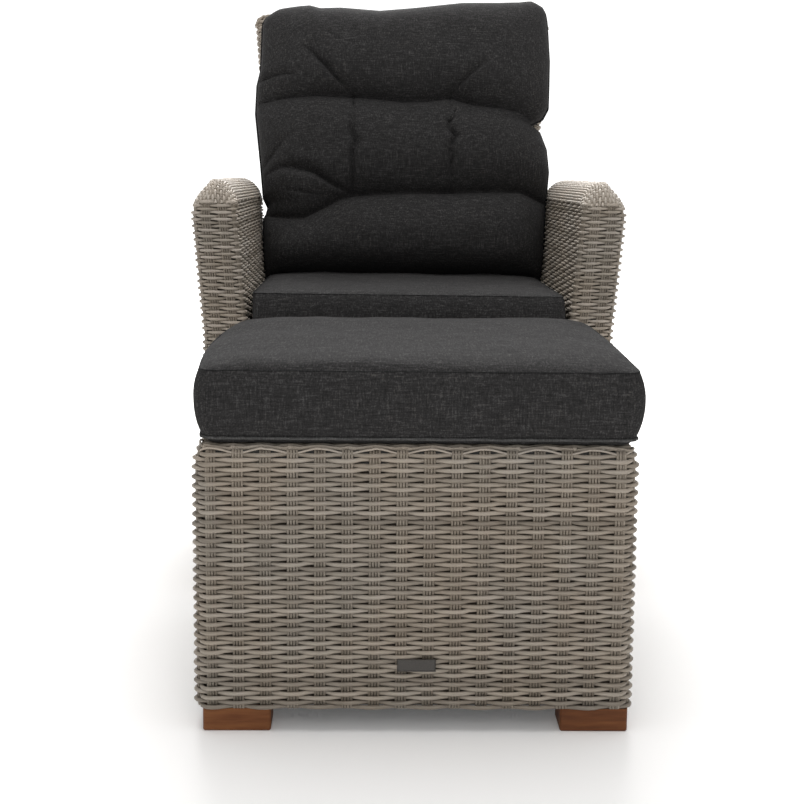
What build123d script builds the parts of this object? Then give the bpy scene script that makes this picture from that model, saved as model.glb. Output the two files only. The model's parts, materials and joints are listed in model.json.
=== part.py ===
from build123d import *
import math
import os

# A reclining garden armchair of woven strand over a square-tube frame, with its matching footstool.
# Millimetres. Seen from the front, X runs to the right, Y to the rear and Z up.
# Places along Y are first measured from the front faces of the arms, and moved to the origin last.

# Whole set
foot_height = 30.0
stool_gap = 110.0
running_clearance = 0.05
soft_clearance = 0.3
soft_sides = 4
overrun = 20.0

# Woven skins and square tubes
weave_thickness = 7.0
seat_tube = 25.0
arm_tube = 20.0
tube_wall = 1.5
vent_side = 6.0

# Arms
arm_inner_half_spacing = 256.0
arm_thickness = 74.0
arm_depth = 622.0
arm_front_top = 675.0
arm_rear_top = 644.0
arm_front_radius = 48.0
arm_rear_radius = 60.0
arm_edge_radius = 28.0
arm_lean_start = 430.0
arm_lean_angle = 4.0
arm_hoop_inset = 12.5
arm_inner_chamfer = 9.0

# Seat box between the arms
seat_deck_top = 396.0
apron_setback = 8.0
apron_edge_radius = 6.0
rear_lip_length = 26.0
lip_edge_radius = 5.0
deck_rail_gap = 3.5

# Seat cushion
seat_cushion_side_gap = 3.5
seat_cushion_overhang = 3.0
seat_cushion_rear_gap = 20.0
seat_cushion_front_top = 494.0
seat_cushion_rear_top = 484.0
seat_cushion_crown = 5.0
seat_cushion_bulge = 9.0
seat_cushion_edge_drop = 9.0

# Back and its hinge
hinge_setback = 62.0
hinge_above_deck = 4.0
back_rake = 16.0
recline_travel = 38.0
back_length = 592.0
back_start = 30.0
back_bottom_side_gap = 11.0
back_top_overhang = 30.0
back_corner_radius = 40.0
back_edge_chamfer = 6.0
back_slat_height = 310.0
hinge_side_gap = 41.0
hinge_eye_radius = 12.0
hinge_pin_radius = 4.0
hinge_arm_thickness = 6.0
bush_wall = 2.0
bush_flange_thickness = 1.0
bush_flange_radius = 9.0
hinge_side_play = 0.3
bracket_plate = 4.0
bracket_eye_radius = 13.0
bracket_base_height = 24.0
bolt_head_radius = 7.0
bolt_head_height = 5.0
nut_height = 6.5

# Back cushion
back_cushion_bottom_gap = 6.0
back_cushion_top_overhang = 22.0
back_cushion_top = 574.0
back_cushion_thickness = 168.0
back_cushion_channel_depth = 122.0
back_cushion_tuft_depth = 88.0
back_cushion_seat_gap = 1.2
upper_channel_height = 384.0
lower_channel_height = 208.0
tuft_half_spacing = 92.0
channel_rise = 40.0

# Lever on the back and gas spring below the seat
lever_length = 75.0
lever_eye_radius = 10.0
lever_plate = 4.0
lever_pin_radius = 4.0
cylinder_radius = 14.0
cylinder_length = 160.0
cylinder_wall = 2.0
cylinder_neck_length = 22.0
cylinder_neck_radius = 7.0
cylinder_eye_width = 16.0
cylinder_eye_radius = 11.0
guide_length = 15.0
rod_radius = 5.0
rod_exposed = 60.0
piston_length = 10.0
head_half_width = 12.0
head_block_length = 18.0
head_fork_length = 18.0
head_slot_half_width = 7.0
open_pivot_radius = 6.7
rod_pin_radius = 4.0
pin_side_play = 0.5

# Release of the gas spring
release_pin_radius = 1.5
release_pin_reach = 7.8
release_pin_gap = 0.3
release_pin_hidden = 5.0
release_angle = 12.0
shaft_radius = 5.0
shaft_drop = 24.0
finger_thickness = 4.0
finger_half_width = 4.0
finger_over = 5.0
shaft_bush_radius = 7.5
shaft_bush_flange = 1.5
shaft_collar_thickness = 2.0
handle_plate = 5.0
handle_gap = 6.0
handle_length = 112.0
handle_angle = 10.0
handle_hub_radius = 13.0
handle_half_height = 9.0
grip_length = 74.0
grip_thickness = 13.0
grip_height = 27.0
grip_edge_chamfer = 3.0

# Footstool
stool_width = 553.0
stool_depth = 520.0
stool_rim_height = 370.0
stool_corner_radius = 22.0
stool_cushion_width = 556.0
stool_cushion_depth = 524.0
stool_cushion_thickness = 98.0
stool_cushion_crown = 9.0
stool_cushion_bulge = 9.0
stool_cushion_edge_drop = 10.0

# Feet and screws
foot_width = 86.0
foot_depth = 60.0
foot_chamfer = 2.0
foot_inset = 6.0
screw_radius = 3.0
screw_head_radius = 6.0
screw_head_height = 3.0
screw_sides = 8
frame_bolt_radius = 4.0
frame_bolt_clearance = 0.3

# Derived heights and places, measured from the front of the arms
arm_outer = arm_inner_half_spacing + arm_thickness
hinge_y = arm_depth - hinge_setback
hinge_z = seat_deck_top + hinge_above_deck
hinge_half_spacing = arm_inner_half_spacing - hinge_side_gap
back_bottom_half_width = arm_inner_half_spacing - back_bottom_side_gap
back_top_half_width = arm_inner_half_spacing + back_top_overhang
back_cushion_bottom_half_width = arm_inner_half_spacing - back_cushion_bottom_gap
back_cushion_top_half_width = arm_inner_half_spacing + back_cushion_top_overhang
seat_cushion_half_width = arm_inner_half_spacing - seat_cushion_side_gap
seat_cushion_ys = (-seat_cushion_overhang, hinge_y - seat_cushion_rear_gap)
deck_low = seat_deck_top - weave_thickness
rail_high = deck_low
rail_low = rail_high - seat_tube
rake = math.radians(back_rake)
half_travel = math.radians(recline_travel / 2)
back_half_thickness = seat_tube / 2 + weave_thickness
rear_skin_front = arm_depth - weave_thickness
rear_rail = (rear_skin_front - seat_tube, rear_skin_front)
front_rail_front = apron_setback + weave_thickness
front_rail = (front_rail_front, front_rail_front + seat_tube)
deck_rail_rear = (hinge_y - (hinge_z - rail_low) * math.tan(half_travel)
                  - lever_eye_radius / math.cos(half_travel) - deck_rail_gap)
deck_rail = (deck_rail_rear - seat_tube, deck_rail_rear)
lever_y = hinge_y + lever_length * math.sin(half_travel)
lever_z = hinge_z - lever_length * math.cos(half_travel)
lever_low_z = hinge_z - lever_length
gas_travel = 2 * lever_length * math.sin(half_travel)
cylinder_rear = lever_y - cylinder_neck_length
cylinder_front = cylinder_rear - cylinder_length
head_rear = cylinder_front - rod_exposed
nose_y = head_rear - head_block_length
rod_pivot_y = nose_y - head_fork_length
rod_pivot_z = (lever_z + lever_low_z) / 2
mid_rail = (rod_pivot_y - seat_tube / 2, rod_pivot_y + seat_tube / 2)
shaft_y = nose_y - release_pin_reach - release_pin_gap
shaft_z = lever_z - shaft_drop
release_travel = shaft_drop * math.tan(math.radians(release_angle))

# The stool stands in front of the chair, and the whole set is centred on the origin
stool_rear = -stool_gap
stool_front = stool_rear - stool_depth
stool_overhang = (stool_cushion_depth - stool_depth) / 2
back_rear = hinge_y + back_length * math.sin(rake) + back_half_thickness * math.cos(rake)
set_middle = (stool_front - stool_overhang + back_rear) / 2
set_place = Pos(0, -set_middle, 0)

nodes = {}


def keep(name, shape):
    """Place a piece in the set's own frame and write it."""
    placed = set_place * shape
    solids = placed.solids()
    nodes[name] = solids[0] if len(solids) == 1 else Compound(solids)
    export_step(nodes[name], "parts/" + name + ".step")


def block(xs, ys, zs):
    """A box given by its low and high place along each axis."""
    pairs = (xs, ys, zs)
    middle = [(low + high) / 2 for low, high in pairs]
    return Pos(*middle) * Box(*[high - low for low, high in pairs])


def grown(pair, amount):
    return (pair[0] - amount, pair[1] + amount)


def about(middle, size):
    return (middle - size / 2, middle + size / 2)


def bar_x(radius, xs, y, z):
    return Pos((xs[0] + xs[1]) / 2, y, z) * Rot(0, 90, 0) * Cylinder(radius, xs[1] - xs[0])


def bar_y(radius, ys, x, z):
    return Pos(x, (ys[0] + ys[1]) / 2, z) * Rot(90, 0, 0) * Cylinder(radius, ys[1] - ys[0])


def mirrored(shape):
    return mirror(shape, about=Plane.YZ)


def plate_x(outline, xs):
    """A plate cut from an outline in Y and Z, between two places along X."""
    face = Plane((xs[0], 0, 0), x_dir=(0, 1, 0), z_dir=(1, 0, 0)) * outline
    return extrude(face, amount=xs[1] - xs[0], dir=(1, 0, 0))


def link(start, end, radius):
    """The outline of a flat link: a bar with a round end about each of two points."""
    run = Vector(*end) - Vector(*start)
    angle = math.degrees(math.atan2(run.Y, run.X))
    middle = (Vector(*start) + Vector(*end)) / 2
    bar = Pos(middle.X, middle.Y) * Rot(0, 0, angle) * Rectangle(run.length, 2 * radius)
    return bar + Pos(*start) * Circle(radius) + Pos(*end) * Circle(radius)


def vent_hole(x, y, z):
    """A square drain hole through the lower wall of a tube."""
    return block(about(x, vent_side), about(y, vent_side), about(z, 3 * tube_wall))


def tube_frame(tubes, open_ends=()):
    """Square tubes welded into one piece. Each is hollow, with a vent hole or an open lower end."""
    shape = None
    for xs, ys, zs in tubes:
        outer = block(xs, ys, zs)
        shape = outer if shape is None else shape + outer
    for index, (xs, ys, zs) in enumerate(tubes):
        low = zs[0] - overrun if index in open_ends else zs[0] + tube_wall
        shape = shape - block(grown(xs, -tube_wall), grown(ys, -tube_wall), (low, zs[1] - tube_wall))
        if index not in open_ends:
            shape = shape - vent_hole((xs[0] + xs[1]) / 2, (ys[0] + ys[1]) / 2, zs[0])
    return shape


def flat_sided_x(radius, xs, y, z):
    """The shank or the hole of a small fastener along X, with a few flat sides."""
    bar = extrude(RegularPolygon(radius, screw_sides), amount=xs[1] - xs[0])
    return Pos(xs[0], y, z) * Rot(0, 90, 0) * bar


def bolt_x(radius, head_x, tip_x, y, z, head_radius, head_height, round_shank=True):
    """A bolt along X with a hexagon head outside head_x."""
    way = 1 if tip_x > head_x else -1
    make = bar_x if round_shank else flat_sided_x
    shank = make(radius, sorted((head_x, tip_x)), y, z)
    head = extrude(RegularPolygon(head_radius, 6), amount=head_height)
    return shank + Pos(head_x, y, z) * Rot(0, -90 * way, 0) * head


def nut_x(radius, face_x, way, y, z, nut_radius, height, round_bore=True):
    """A hexagon nut that seats on face_x and stands away from it."""
    bore = Circle(radius) if round_bore else RegularPolygon(radius, screw_sides)
    ring = extrude(RegularPolygon(nut_radius, 6) - bore, amount=height)
    return Pos(face_x, y, z) * Rot(0, 90 * way, 0) * ring


# Arms
def arm_section(near, far, floor):
    """Cross section of a right-hand arm: upright below, leaning outward above."""
    top = arm_front_top + overrun
    shift = (top - arm_lean_start) * math.tan(math.radians(arm_lean_angle))
    return make_face(Polyline((near, floor), (near, arm_lean_start), (near + shift, top),
                              (far + shift, top), (far, arm_lean_start), (far, floor), close=True))


def arm_profile(inset, floor):
    """Side view of an arm, with its top falling to the rear and both top corners round."""
    fall = (arm_front_top - arm_rear_top) / arm_depth
    drop = inset * math.sqrt(1 + fall * fall)
    front, rear = inset, arm_depth - inset
    top_front = arm_front_top - fall * front - drop
    top_rear = arm_front_top - fall * rear - drop
    corners = [(front, floor), (front, top_front), (rear, top_rear), (rear, floor)]
    face = make_face(Polyline(*corners, close=True))
    upper = face.vertices().sort_by(Axis.Y)[-2:].sort_by(Axis.X)
    face = fillet(upper[0], arm_front_radius - inset)
    upper = [v for v in face.vertices() if v.Y > arm_lean_start and v.X > rear - running_clearance]
    return fillet(upper[0], arm_rear_radius - inset)


def arm_block(near, far, inset, floor):
    """A band of the arm's cross section, cut to the arm's side view."""
    section = Plane((0, -overrun, 0), x_dir=(1, 0, 0), z_dir=(0, -1, 0)) * arm_section(near, far, floor)
    length = arm_depth + 2 * overrun
    band = extrude(section, amount=length, dir=(0, 1, 0))
    return band & plate_x(arm_profile(inset, floor), (0, arm_outer + 3 * overrun))


def arm_skin():
    """The woven shell of the right-hand arm, open at the bottom."""
    body = arm_block(arm_inner_half_spacing, arm_outer, 0, foot_height)
    along = [e for e in body.edges()
             if abs(e.tangent_at(0.5).X) < 0.9 and abs(e.tangent_at(0.5).Y) < 0.9999
             and e.center().Z > foot_height + running_clearance]
    body = fillet(along, arm_edge_radius)
    hollow = arm_block(arm_inner_half_spacing + weave_thickness, arm_outer - weave_thickness,
                       weave_thickness, foot_height - overrun)
    inner_edges = [e for e in hollow.edges()
                   if abs(e.tangent_at(0.5).X) < 0.9 and abs(e.tangent_at(0.5).Y) < 0.9999
                   and e.center().Z > foot_height - overrun + running_clearance]
    hollow = chamfer(inner_edges, arm_inner_chamfer)
    return body - hollow


frame_bolt_places = [(front_rail[1] + seat_tube, (rail_low + rail_high) / 2),
                     (deck_rail[0] - seat_tube, (rail_low + rail_high) / 2)]
lower_rail_z = foot_height + seat_tube / 2
end_bolt_places = [((front_rail[0] + front_rail[1]) / 2, lower_rail_z),
                   ((rear_rail[0] + rear_rail[1]) / 2, lower_rail_z)]
arm_rail_x = (arm_inner_half_spacing + weave_thickness,
              arm_inner_half_spacing + weave_thickness + arm_tube)


def bolt_holes(places, xs):
    shape = None
    for y, z in places:
        hole = flat_sided_x(frame_bolt_radius + frame_bolt_clearance, xs, y, z)
        shape = hole if shape is None else shape + hole
    return shape


def arm_frame():
    """Two tube hoops inside the right-hand arm, tied by spacers, with a rail at seat height."""
    reach = foot_height
    shape = None
    lows = (arm_inner_half_spacing + arm_hoop_inset, arm_outer - arm_hoop_inset - arm_tube)
    for low in lows:
        ring = arm_block(low, low + arm_tube, arm_hoop_inset, reach)
        ring = ring - arm_block(low - overrun, low + arm_tube + overrun,
                                arm_hoop_inset + arm_tube, reach + arm_tube)
        core = arm_block(low + tube_wall, low + arm_tube - tube_wall,
                         arm_hoop_inset + tube_wall, reach + tube_wall)
        core = core - arm_block(low - overrun, low + arm_tube + overrun,
                                arm_hoop_inset + arm_tube - tube_wall, reach + arm_tube - tube_wall)
        hoop = ring - core - vent_hole(low + arm_tube / 2, arm_depth / 2, reach)
        shape = hoop if shape is None else shape + hoop
    between = (lows[0] + arm_tube, lows[1])
    posts = (about(arm_hoop_inset + arm_tube / 2, arm_tube),
             about(arm_depth - arm_hoop_inset - arm_tube / 2, arm_tube))
    for ys in posts:
        for z in (foot_height + 3 * arm_tube, (rail_low + rail_high) / 2):
            shape = shape + block(between, ys, about(z, arm_tube))
    rail_ys = (posts[0][1], posts[1][0])
    rail = tube_frame([(arm_rail_x, rail_ys, about((rail_low + rail_high) / 2, arm_tube))])
    shape = shape + rail
    holes = (arm_rail_x[0] - overrun, arm_rail_x[1] + arm_hoop_inset)
    shape = shape - bolt_holes(frame_bolt_places, holes)
    return shape - bolt_holes(end_bolt_places, holes)


shaft_hole = bar_x(shaft_bush_radius, (0, arm_outer + 2 * overrun), shaft_y, shaft_z)
skin_holes_x = (arm_inner_half_spacing - overrun, arm_rail_x[1])
right_skin = arm_skin() - bolt_holes(frame_bolt_places + end_bolt_places, skin_holes_x)
right_frame = arm_frame()
keep("right_arm_skin", right_skin - shaft_hole)
keep("left_arm_skin", mirrored(right_skin))
keep("right_arm_frame", right_frame)
keep("left_arm_frame", mirrored(right_frame))


# Seat box: a welded ladder frame, two lower rails, the woven deck and the two woven aprons
inner_width = (-arm_inner_half_spacing, arm_inner_half_spacing)
side_rail_x = (arm_inner_half_spacing - seat_tube, arm_inner_half_spacing)
cross_x = (-side_rail_x[0], side_rail_x[0])


def seat_frame():
    rail_z = (rail_low, rail_high)
    length = (front_rail[0], rear_rail[1])
    tubes = [((-side_rail_x[1], -side_rail_x[0]), length, rail_z), (side_rail_x, length, rail_z)]
    tubes += [(cross_x, ys, rail_z) for ys in (front_rail, mid_rail, deck_rail, rear_rail)]
    shape = tube_frame(tubes)
    holes = bolt_holes(frame_bolt_places, (side_rail_x[0] - overrun, side_rail_x[1] + overrun))
    return shape - holes - mirrored(holes)


def lower_rail(ys):
    shape = tube_frame([(inner_width, ys, (foot_height, foot_height + seat_tube))])
    places = [p for p in end_bolt_places if ys[0] < p[0] < ys[1]]
    tapped = None
    for y, z in places:
        hole = flat_sided_x(frame_bolt_radius, (side_rail_x[0], side_rail_x[1] + overrun), y, z)
        tapped = hole if tapped is None else tapped + hole
    return shape - tapped - mirrored(tapped)


def front_apron():
    """The woven front below the seat, with a round edge where the weave turns over the rail."""
    body = block(inner_width, (apron_setback, front_rail[0]), (foot_height, seat_deck_top))
    edge = body.edges().filter_by(Axis.X).sort_by(lambda e: e.center().Z - e.center().Y)[-1]
    return fillet(edge, apron_edge_radius)


def rear_apron():
    """The woven rear below the seat. Its top lip turns over the rear rail."""
    upright = block(inner_width, (rear_skin_front, arm_depth), (foot_height, seat_deck_top))
    lip = block(inner_width, (arm_depth - rear_lip_length, arm_depth), (deck_low, seat_deck_top))
    body = upright + lip
    edge = body.edges().filter_by(Axis.X).sort_by(lambda e: e.center().Z + e.center().Y)[-1]
    return fillet(edge, lip_edge_radius)


keep("seat_frame", seat_frame())
keep("front_lower_rail", lower_rail(front_rail))
keep("rear_lower_rail", lower_rail(rear_rail))
keep("seat_deck", block(inner_width, (front_rail[0], deck_rail[1]), (deck_low, seat_deck_top)))
keep("front_apron", front_apron())
keep("rear_apron", rear_apron())


def frame_bolts():
    """Bolts through the seat rails into the arms, and through the arms into the lower rails."""
    shape = []
    for y, z in frame_bolt_places:
        shape.append(bolt_x(frame_bolt_radius, side_rail_x[0], arm_rail_x[1] + nut_height + tube_wall,
                            y, z, bolt_head_radius, bolt_head_height, round_shank=False))
    lower_face = arm_inner_half_spacing + arm_hoop_inset + arm_tube
    for y, z in end_bolt_places:
        shape.append(bolt_x(frame_bolt_radius, lower_face, side_rail_x[0], y, z,
                            bolt_head_radius, bolt_head_height, round_shank=False))
    return Compound([s.solid() for s in shape] + [mirrored(s).solid() for s in shape])


def frame_nuts():
    shape = [nut_x(frame_bolt_radius, arm_rail_x[1], 1, y, z, bolt_head_radius, nut_height,
                   round_bore=False) for y, z in frame_bolt_places]
    return Compound([s.solid() for s in shape] + [mirrored(s).solid() for s in shape])


keep("frame_bolts", frame_bolts())
keep("frame_nuts", frame_nuts())


# Feet: one teak block under each corner, held by two screws with sunk heads
def foot(width, depth, x, y):
    body = Pos(x, y, foot_height / 2) * Box(width, depth, foot_height)
    eased = body.edges().filter_by(Axis.Z) + body.faces().sort_by(Axis.Z)[0].edges()
    body = chamfer(eased, foot_chamfer)
    for place in screw_places(width, depth, x, y):
        body = body - screw(*place)
    return body


def screw_places(width, depth, x, y):
    quarter = max(width, depth) / 4
    if width > depth:
        return [(x - quarter, y), (x + quarter, y)]
    return [(x, y - quarter), (x, y + quarter)]


def screw(x, y):
    """A screw up through a foot into the tube above it, with its head sunk in the wood."""
    shape = None
    for radius, top in ((screw_head_radius, foot_chamfer + screw_head_height),
                        (screw_radius, foot_height)):
        outline = Pos(x, y, foot_chamfer) * RegularPolygon(radius, screw_sides)
        step = extrude(outline, amount=top - foot_chamfer)
        shape = step if shape is None else shape + step
    return shape


arm_middle = arm_inner_half_spacing + arm_thickness / 2
chair_feet_y = (foot_inset + foot_width / 2, arm_depth - foot_inset - foot_width / 2)
chair_screws = []
for side_name, side in (("left", -1), ("right", 1)):
    for end_name, y in zip(("front", "rear"), chair_feet_y):
        keep("chair_foot_" + end_name + "_" + side_name,
             foot(foot_depth, foot_width, side * arm_middle, y))
        chair_screws += [screw(*p).solid()
                         for p in screw_places(foot_depth, foot_width, side * arm_middle, y)]
keep("chair_foot_screws", Compound(chair_screws))


# Cushions: closed outlines across the width, joined into one soft body
def soft_body(outlines):
    """A body through planar outlines, each a closed chain of (start, middle or None, end).

    A bow through a middle point is laid as a few equal chords.
    """
    faces = []
    for chain in outlines:
        edges = []
        for start, middle, end in chain:
            if middle is None:
                edges.append(Line(start, end))
            else:
                arc = ThreePointArc(start, middle, end)
                points = [arc.position_at(step / soft_sides) for step in range(soft_sides + 1)]
                edges += [Line(a, b) for a, b in zip(points, points[1:])]
        faces.append(Face(Wire(edges)))
    return loft(faces, ruled=True)


def box_outline(x, ys, low, front_top, rear_top, crown, bulge):
    """One lengthwise cut of a box cushion: flat below, crowned above, bulged in front and rear."""
    front, rear = ys
    a, b = (x, front, low), (x, rear, low)
    c, d = (x, rear, rear_top), (x, front, front_top)
    rear_mid = (x, rear + bulge, (low + rear_top) / 2)
    front_mid = (x, front - bulge, (low + front_top) / 2)
    top_mid = (x, (front + rear) / 2, (front_top + rear_top) / 2 + crown)
    return [(a, None, b), (b, rear_mid, c), (c, top_mid, d), (d, front_mid, a)]


# Share of the half width, then how much of the edge drop and of the crown is there
box_station_shares = [(-1.0, 1.0, 0.15), (-0.95, 0.25, 0.45), (-0.6, 0.0, 0.85), (0.0, 0.0, 1.0),
                      (0.6, 0.0, 0.85), (0.95, 0.25, 0.45), (1.0, 1.0, 0.15)]


def box_cushion(half_width, ys, low, front_top, rear_top, crown, bulge, edge_drop):
    outlines = []
    for across_share, drop_share, crown_share in box_station_shares:
        drop = edge_drop * drop_share
        outlines.append(box_outline(half_width * across_share, grown(ys, -bulge - drop / 2),
                                    low + drop, front_top - drop, rear_top - drop,
                                    crown * crown_share, bulge))
    return soft_body(outlines)


seat_cushion_low = seat_deck_top + soft_clearance
keep("seat_cushion",
     box_cushion(seat_cushion_half_width,
                 seat_cushion_ys, seat_cushion_low, seat_cushion_front_top,
                 seat_cushion_rear_top, seat_cushion_crown, seat_cushion_bulge, seat_cushion_edge_drop))


# Back: built upright about its hinge axis, with Y as its thickness, then leaned back
back_place = Pos(0, hinge_y, hinge_z) * Rot(-back_rake, 0, 0)


def back_outline(inset, floor):
    """Front view of the back panel, wider at the top, with round top corners."""
    slope = (back_top_half_width - back_bottom_half_width) / (back_length - back_start)
    top = back_length - inset
    wide_top = back_bottom_half_width + slope * (top - back_start) - inset
    wide_low = back_bottom_half_width + slope * (floor - back_start) - inset
    corners = [(-wide_low, floor), (-wide_top, top), (wide_top, top), (wide_low, floor)]
    face = make_face(Polyline(*corners, close=True))
    return fillet(face.vertices().sort_by(Axis.Y)[-2:], back_corner_radius - inset)


def back_slab(inset, floor, half_thickness):
    face = Plane((0, -half_thickness, 0), x_dir=(1, 0, 0), z_dir=(0, -1, 0))
    return extrude(face * back_outline(inset, floor), amount=2 * half_thickness, dir=(0, 1, 0))


def back_skin():
    """The woven sock over the back frame, open at the bottom."""
    body = back_slab(0, back_start, back_half_thickness)
    rim = [e for e in body.edges() if abs(e.tangent_at(0.5).Y) < 0.5
           and e.center().Z > back_start + running_clearance]
    body = chamfer(rim, back_edge_chamfer)
    return body - back_slab(weave_thickness, back_start - overrun, seat_tube / 2)


back_tube_low = back_start + weave_thickness


def back_frame():
    """The tube frame inside the back: a closed loop with one slat across."""
    half = seat_tube / 2
    outer = back_slab(weave_thickness, back_tube_low, half)
    ring = outer - back_slab(weave_thickness + seat_tube, back_tube_low + seat_tube, half + overrun)
    inner_half = half - tube_wall
    core = back_slab(weave_thickness + tube_wall, back_tube_low + tube_wall, inner_half)
    core = core - back_slab(weave_thickness + seat_tube - tube_wall,
                            back_tube_low + seat_tube - tube_wall, half + overrun)
    slat = block((-back_top_half_width, back_top_half_width), (-half, half),
                 about(back_slat_height, seat_tube))
    slat = slat & back_slab(weave_thickness + tube_wall, back_tube_low, half)
    shape = ring - core
    slat = slat - (ring + core) - block(grown(cross_x, -seat_tube), (-inner_half, inner_half),
                                        about(back_slat_height, seat_tube - 2 * tube_wall))
    shape = shape + slat
    for z in (back_tube_low, back_slat_height - seat_tube / 2):
        shape = shape - vent_hole(hinge_half_spacing / 2, 0, z)
    return shape


keep("back_skin", back_place * back_skin())
keep("back_frame", back_place * back_frame())


# Hinges: an arm with two flanged bushes on the back, between the ears of a bracket on the base
def hinge_arm(side):
    xs = about(side * hinge_half_spacing, hinge_arm_thickness)
    outline = link((0, 0), (0, back_tube_low - hinge_eye_radius), hinge_eye_radius)
    outline = outline + Pos(0, back_tube_low / 2) * Rectangle(2 * hinge_eye_radius, back_tube_low)
    outline = outline - Circle(hinge_pin_radius + running_clearance + bush_wall)
    return plate_x(outline, xs)


def hinge_bush(side, way):
    """Half of the hinge's plain bearing: a flange outside the arm and a sleeve to its middle."""
    middle = side * hinge_half_spacing
    face = middle + way * hinge_arm_thickness / 2
    flange = bar_x(bush_flange_radius, sorted((face, face + way * bush_flange_thickness)), 0, 0)
    sleeve = bar_x(hinge_pin_radius + running_clearance + bush_wall, sorted((middle, face)), 0, 0)
    bore = bar_x(hinge_pin_radius + running_clearance, grown((middle, middle), overrun), 0, 0)
    return flange + sleeve - bore


ear_inside = hinge_arm_thickness / 2 + bush_flange_thickness + hinge_side_play
ear_outside = ear_inside + bracket_plate


def hinge_bracket(side):
    """A folded clevis on the front of the rear rail: a base plate and two ears round the pin."""
    middle = side * hinge_half_spacing
    rail_face = rear_rail[0]
    plate_face = rail_face - bracket_plate
    base = block(about(middle, 2 * ear_outside), (plate_face, rail_face),
                 (rail_high - bracket_base_height, rail_high))
    shape = base
    corners = [(plate_face, rail_high - bracket_base_height), (plate_face, rail_high)]
    for way in (-1, 1):
        xs = sorted((middle + way * ear_inside, middle + way * ear_outside))
        ear = make_hull(make_face(Polyline((hinge_y, corners[0][1]), corners[0], corners[1],
                                           (hinge_y, corners[1][1]), close=True)).edges()
                        + (Pos(hinge_y, hinge_z) * Circle(bracket_eye_radius)).edges())
        shape = shape + plate_x(ear, xs)
    hole = bar_x(hinge_pin_radius, about(middle, 4 * ear_outside), hinge_y, hinge_z)
    return shape - hole


bushes = []
for name, side in (("left", -1), ("right", 1)):
    middle = side * hinge_half_spacing
    keep(name + "_hinge_arm", back_place * hinge_arm(side))
    keep(name + "_hinge_bracket", hinge_bracket(side))
    head_x = middle - side * ear_outside
    nut_face = middle + side * ear_outside
    keep(name + "_hinge_bolt",
         bolt_x(hinge_pin_radius, head_x, nut_face + side * nut_height, hinge_y, hinge_z,
                bolt_head_radius, bolt_head_height))
    keep(name + "_hinge_nut",
         nut_x(hinge_pin_radius, nut_face, side, hinge_y, hinge_z, bolt_head_radius, nut_height))
    bushes += [(back_place * hinge_bush(side, way)).solid() for way in (-1, 1)]
keep("hinge_bushes", Compound(bushes))


# Back cushion: three sewn rolls, tufted at four points, standing on the seat cushion
cushion_rear = -back_half_thickness - soft_clearance
back_cushion_low_z = max(seat_cushion_rear_top, seat_cushion_front_top) + back_cushion_seat_gap

# Share of the half width, thickness at the rolls, depth of the channels, rise of the upper and
# of the lower channel, and drop of the top edge, each as a share of its named size
back_station_shares = [(-1.0, 0.80, 0.86, 0.90, -0.30, 0.40),
                       (-0.90, 0.95, 0.98, 0.55, -0.50, 0.10),
                       (-0.62, 1.00, 1.00, 0.05, -0.60, 0.0),
                       (-0.35, 0.98, 0.0, 0.0, 0.0, 0.10),
                       (0.0, 1.00, 1.00, -0.20, 0.05, 0.0),
                       (0.35, 0.98, 0.0, 0.0, 0.0, 0.10),
                       (0.62, 1.00, 1.00, -0.35, 0.0, 0.0),
                       (0.90, 0.95, 0.98, -0.85, -0.20, 0.10),
                       (1.0, 0.80, 0.86, -1.10, -0.25, 0.40)]


def back_cushion_outline(across_share, roll_share, channel_share, upper_share, lower_share,
                         drop_share):
    """One upright cut of the back cushion, in the leaned frame of the back."""
    roll = cushion_rear - back_cushion_thickness * roll_share
    depth = back_cushion_channel_depth * channel_share
    if channel_share == 0:
        across_share = math.copysign(tuft_half_spacing, across_share) / back_cushion_top_half_width
        depth = back_cushion_tuft_depth
    groove = cushion_rear - depth
    top = back_cushion_top - channel_rise * drop_share / 2
    upper = upper_channel_height + channel_rise * upper_share
    lower = lower_channel_height + channel_rise * lower_share
    low_z = back_cushion_low_z - hinge_z

    def low_height(y):
        return (low_z + y * math.sin(rake)) / math.cos(rake)

    def place(y, height):
        slope = (back_cushion_top_half_width - back_cushion_bottom_half_width) / back_cushion_top
        return (across_share * (back_cushion_bottom_half_width + slope * height), y, height)

    front_low_y = roll + back_cushion_thickness / 8
    rear_low = place(cushion_rear, low_height(cushion_rear))
    rear_top = place(cushion_rear, top - back_cushion_thickness / 8)
    front_top_y = groove
    front_top = place(front_top_y, top - back_cushion_thickness / 12)
    top_mid = place((cushion_rear + front_top_y) / 2, top)
    upper_point = place(groove, upper)
    lower_point = place(groove, lower)
    front_low = place(front_low_y, low_height(front_low_y))
    upper_roll = place(roll, (upper + front_top[2]) / 2)
    middle_roll = place(roll, (upper + lower) / 2)
    lower_roll = place(roll, (lower + front_low[2]) / 2)
    return [(rear_low, None, rear_top), (rear_top, top_mid, front_top),
            (front_top, upper_roll, upper_point), (upper_point, middle_roll, lower_point),
            (lower_point, lower_roll, front_low), (front_low, None, rear_low)]


back_cushion = soft_body([back_cushion_outline(*row) for row in back_station_shares])
keep("back_cushion", back_place * back_cushion)


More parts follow.
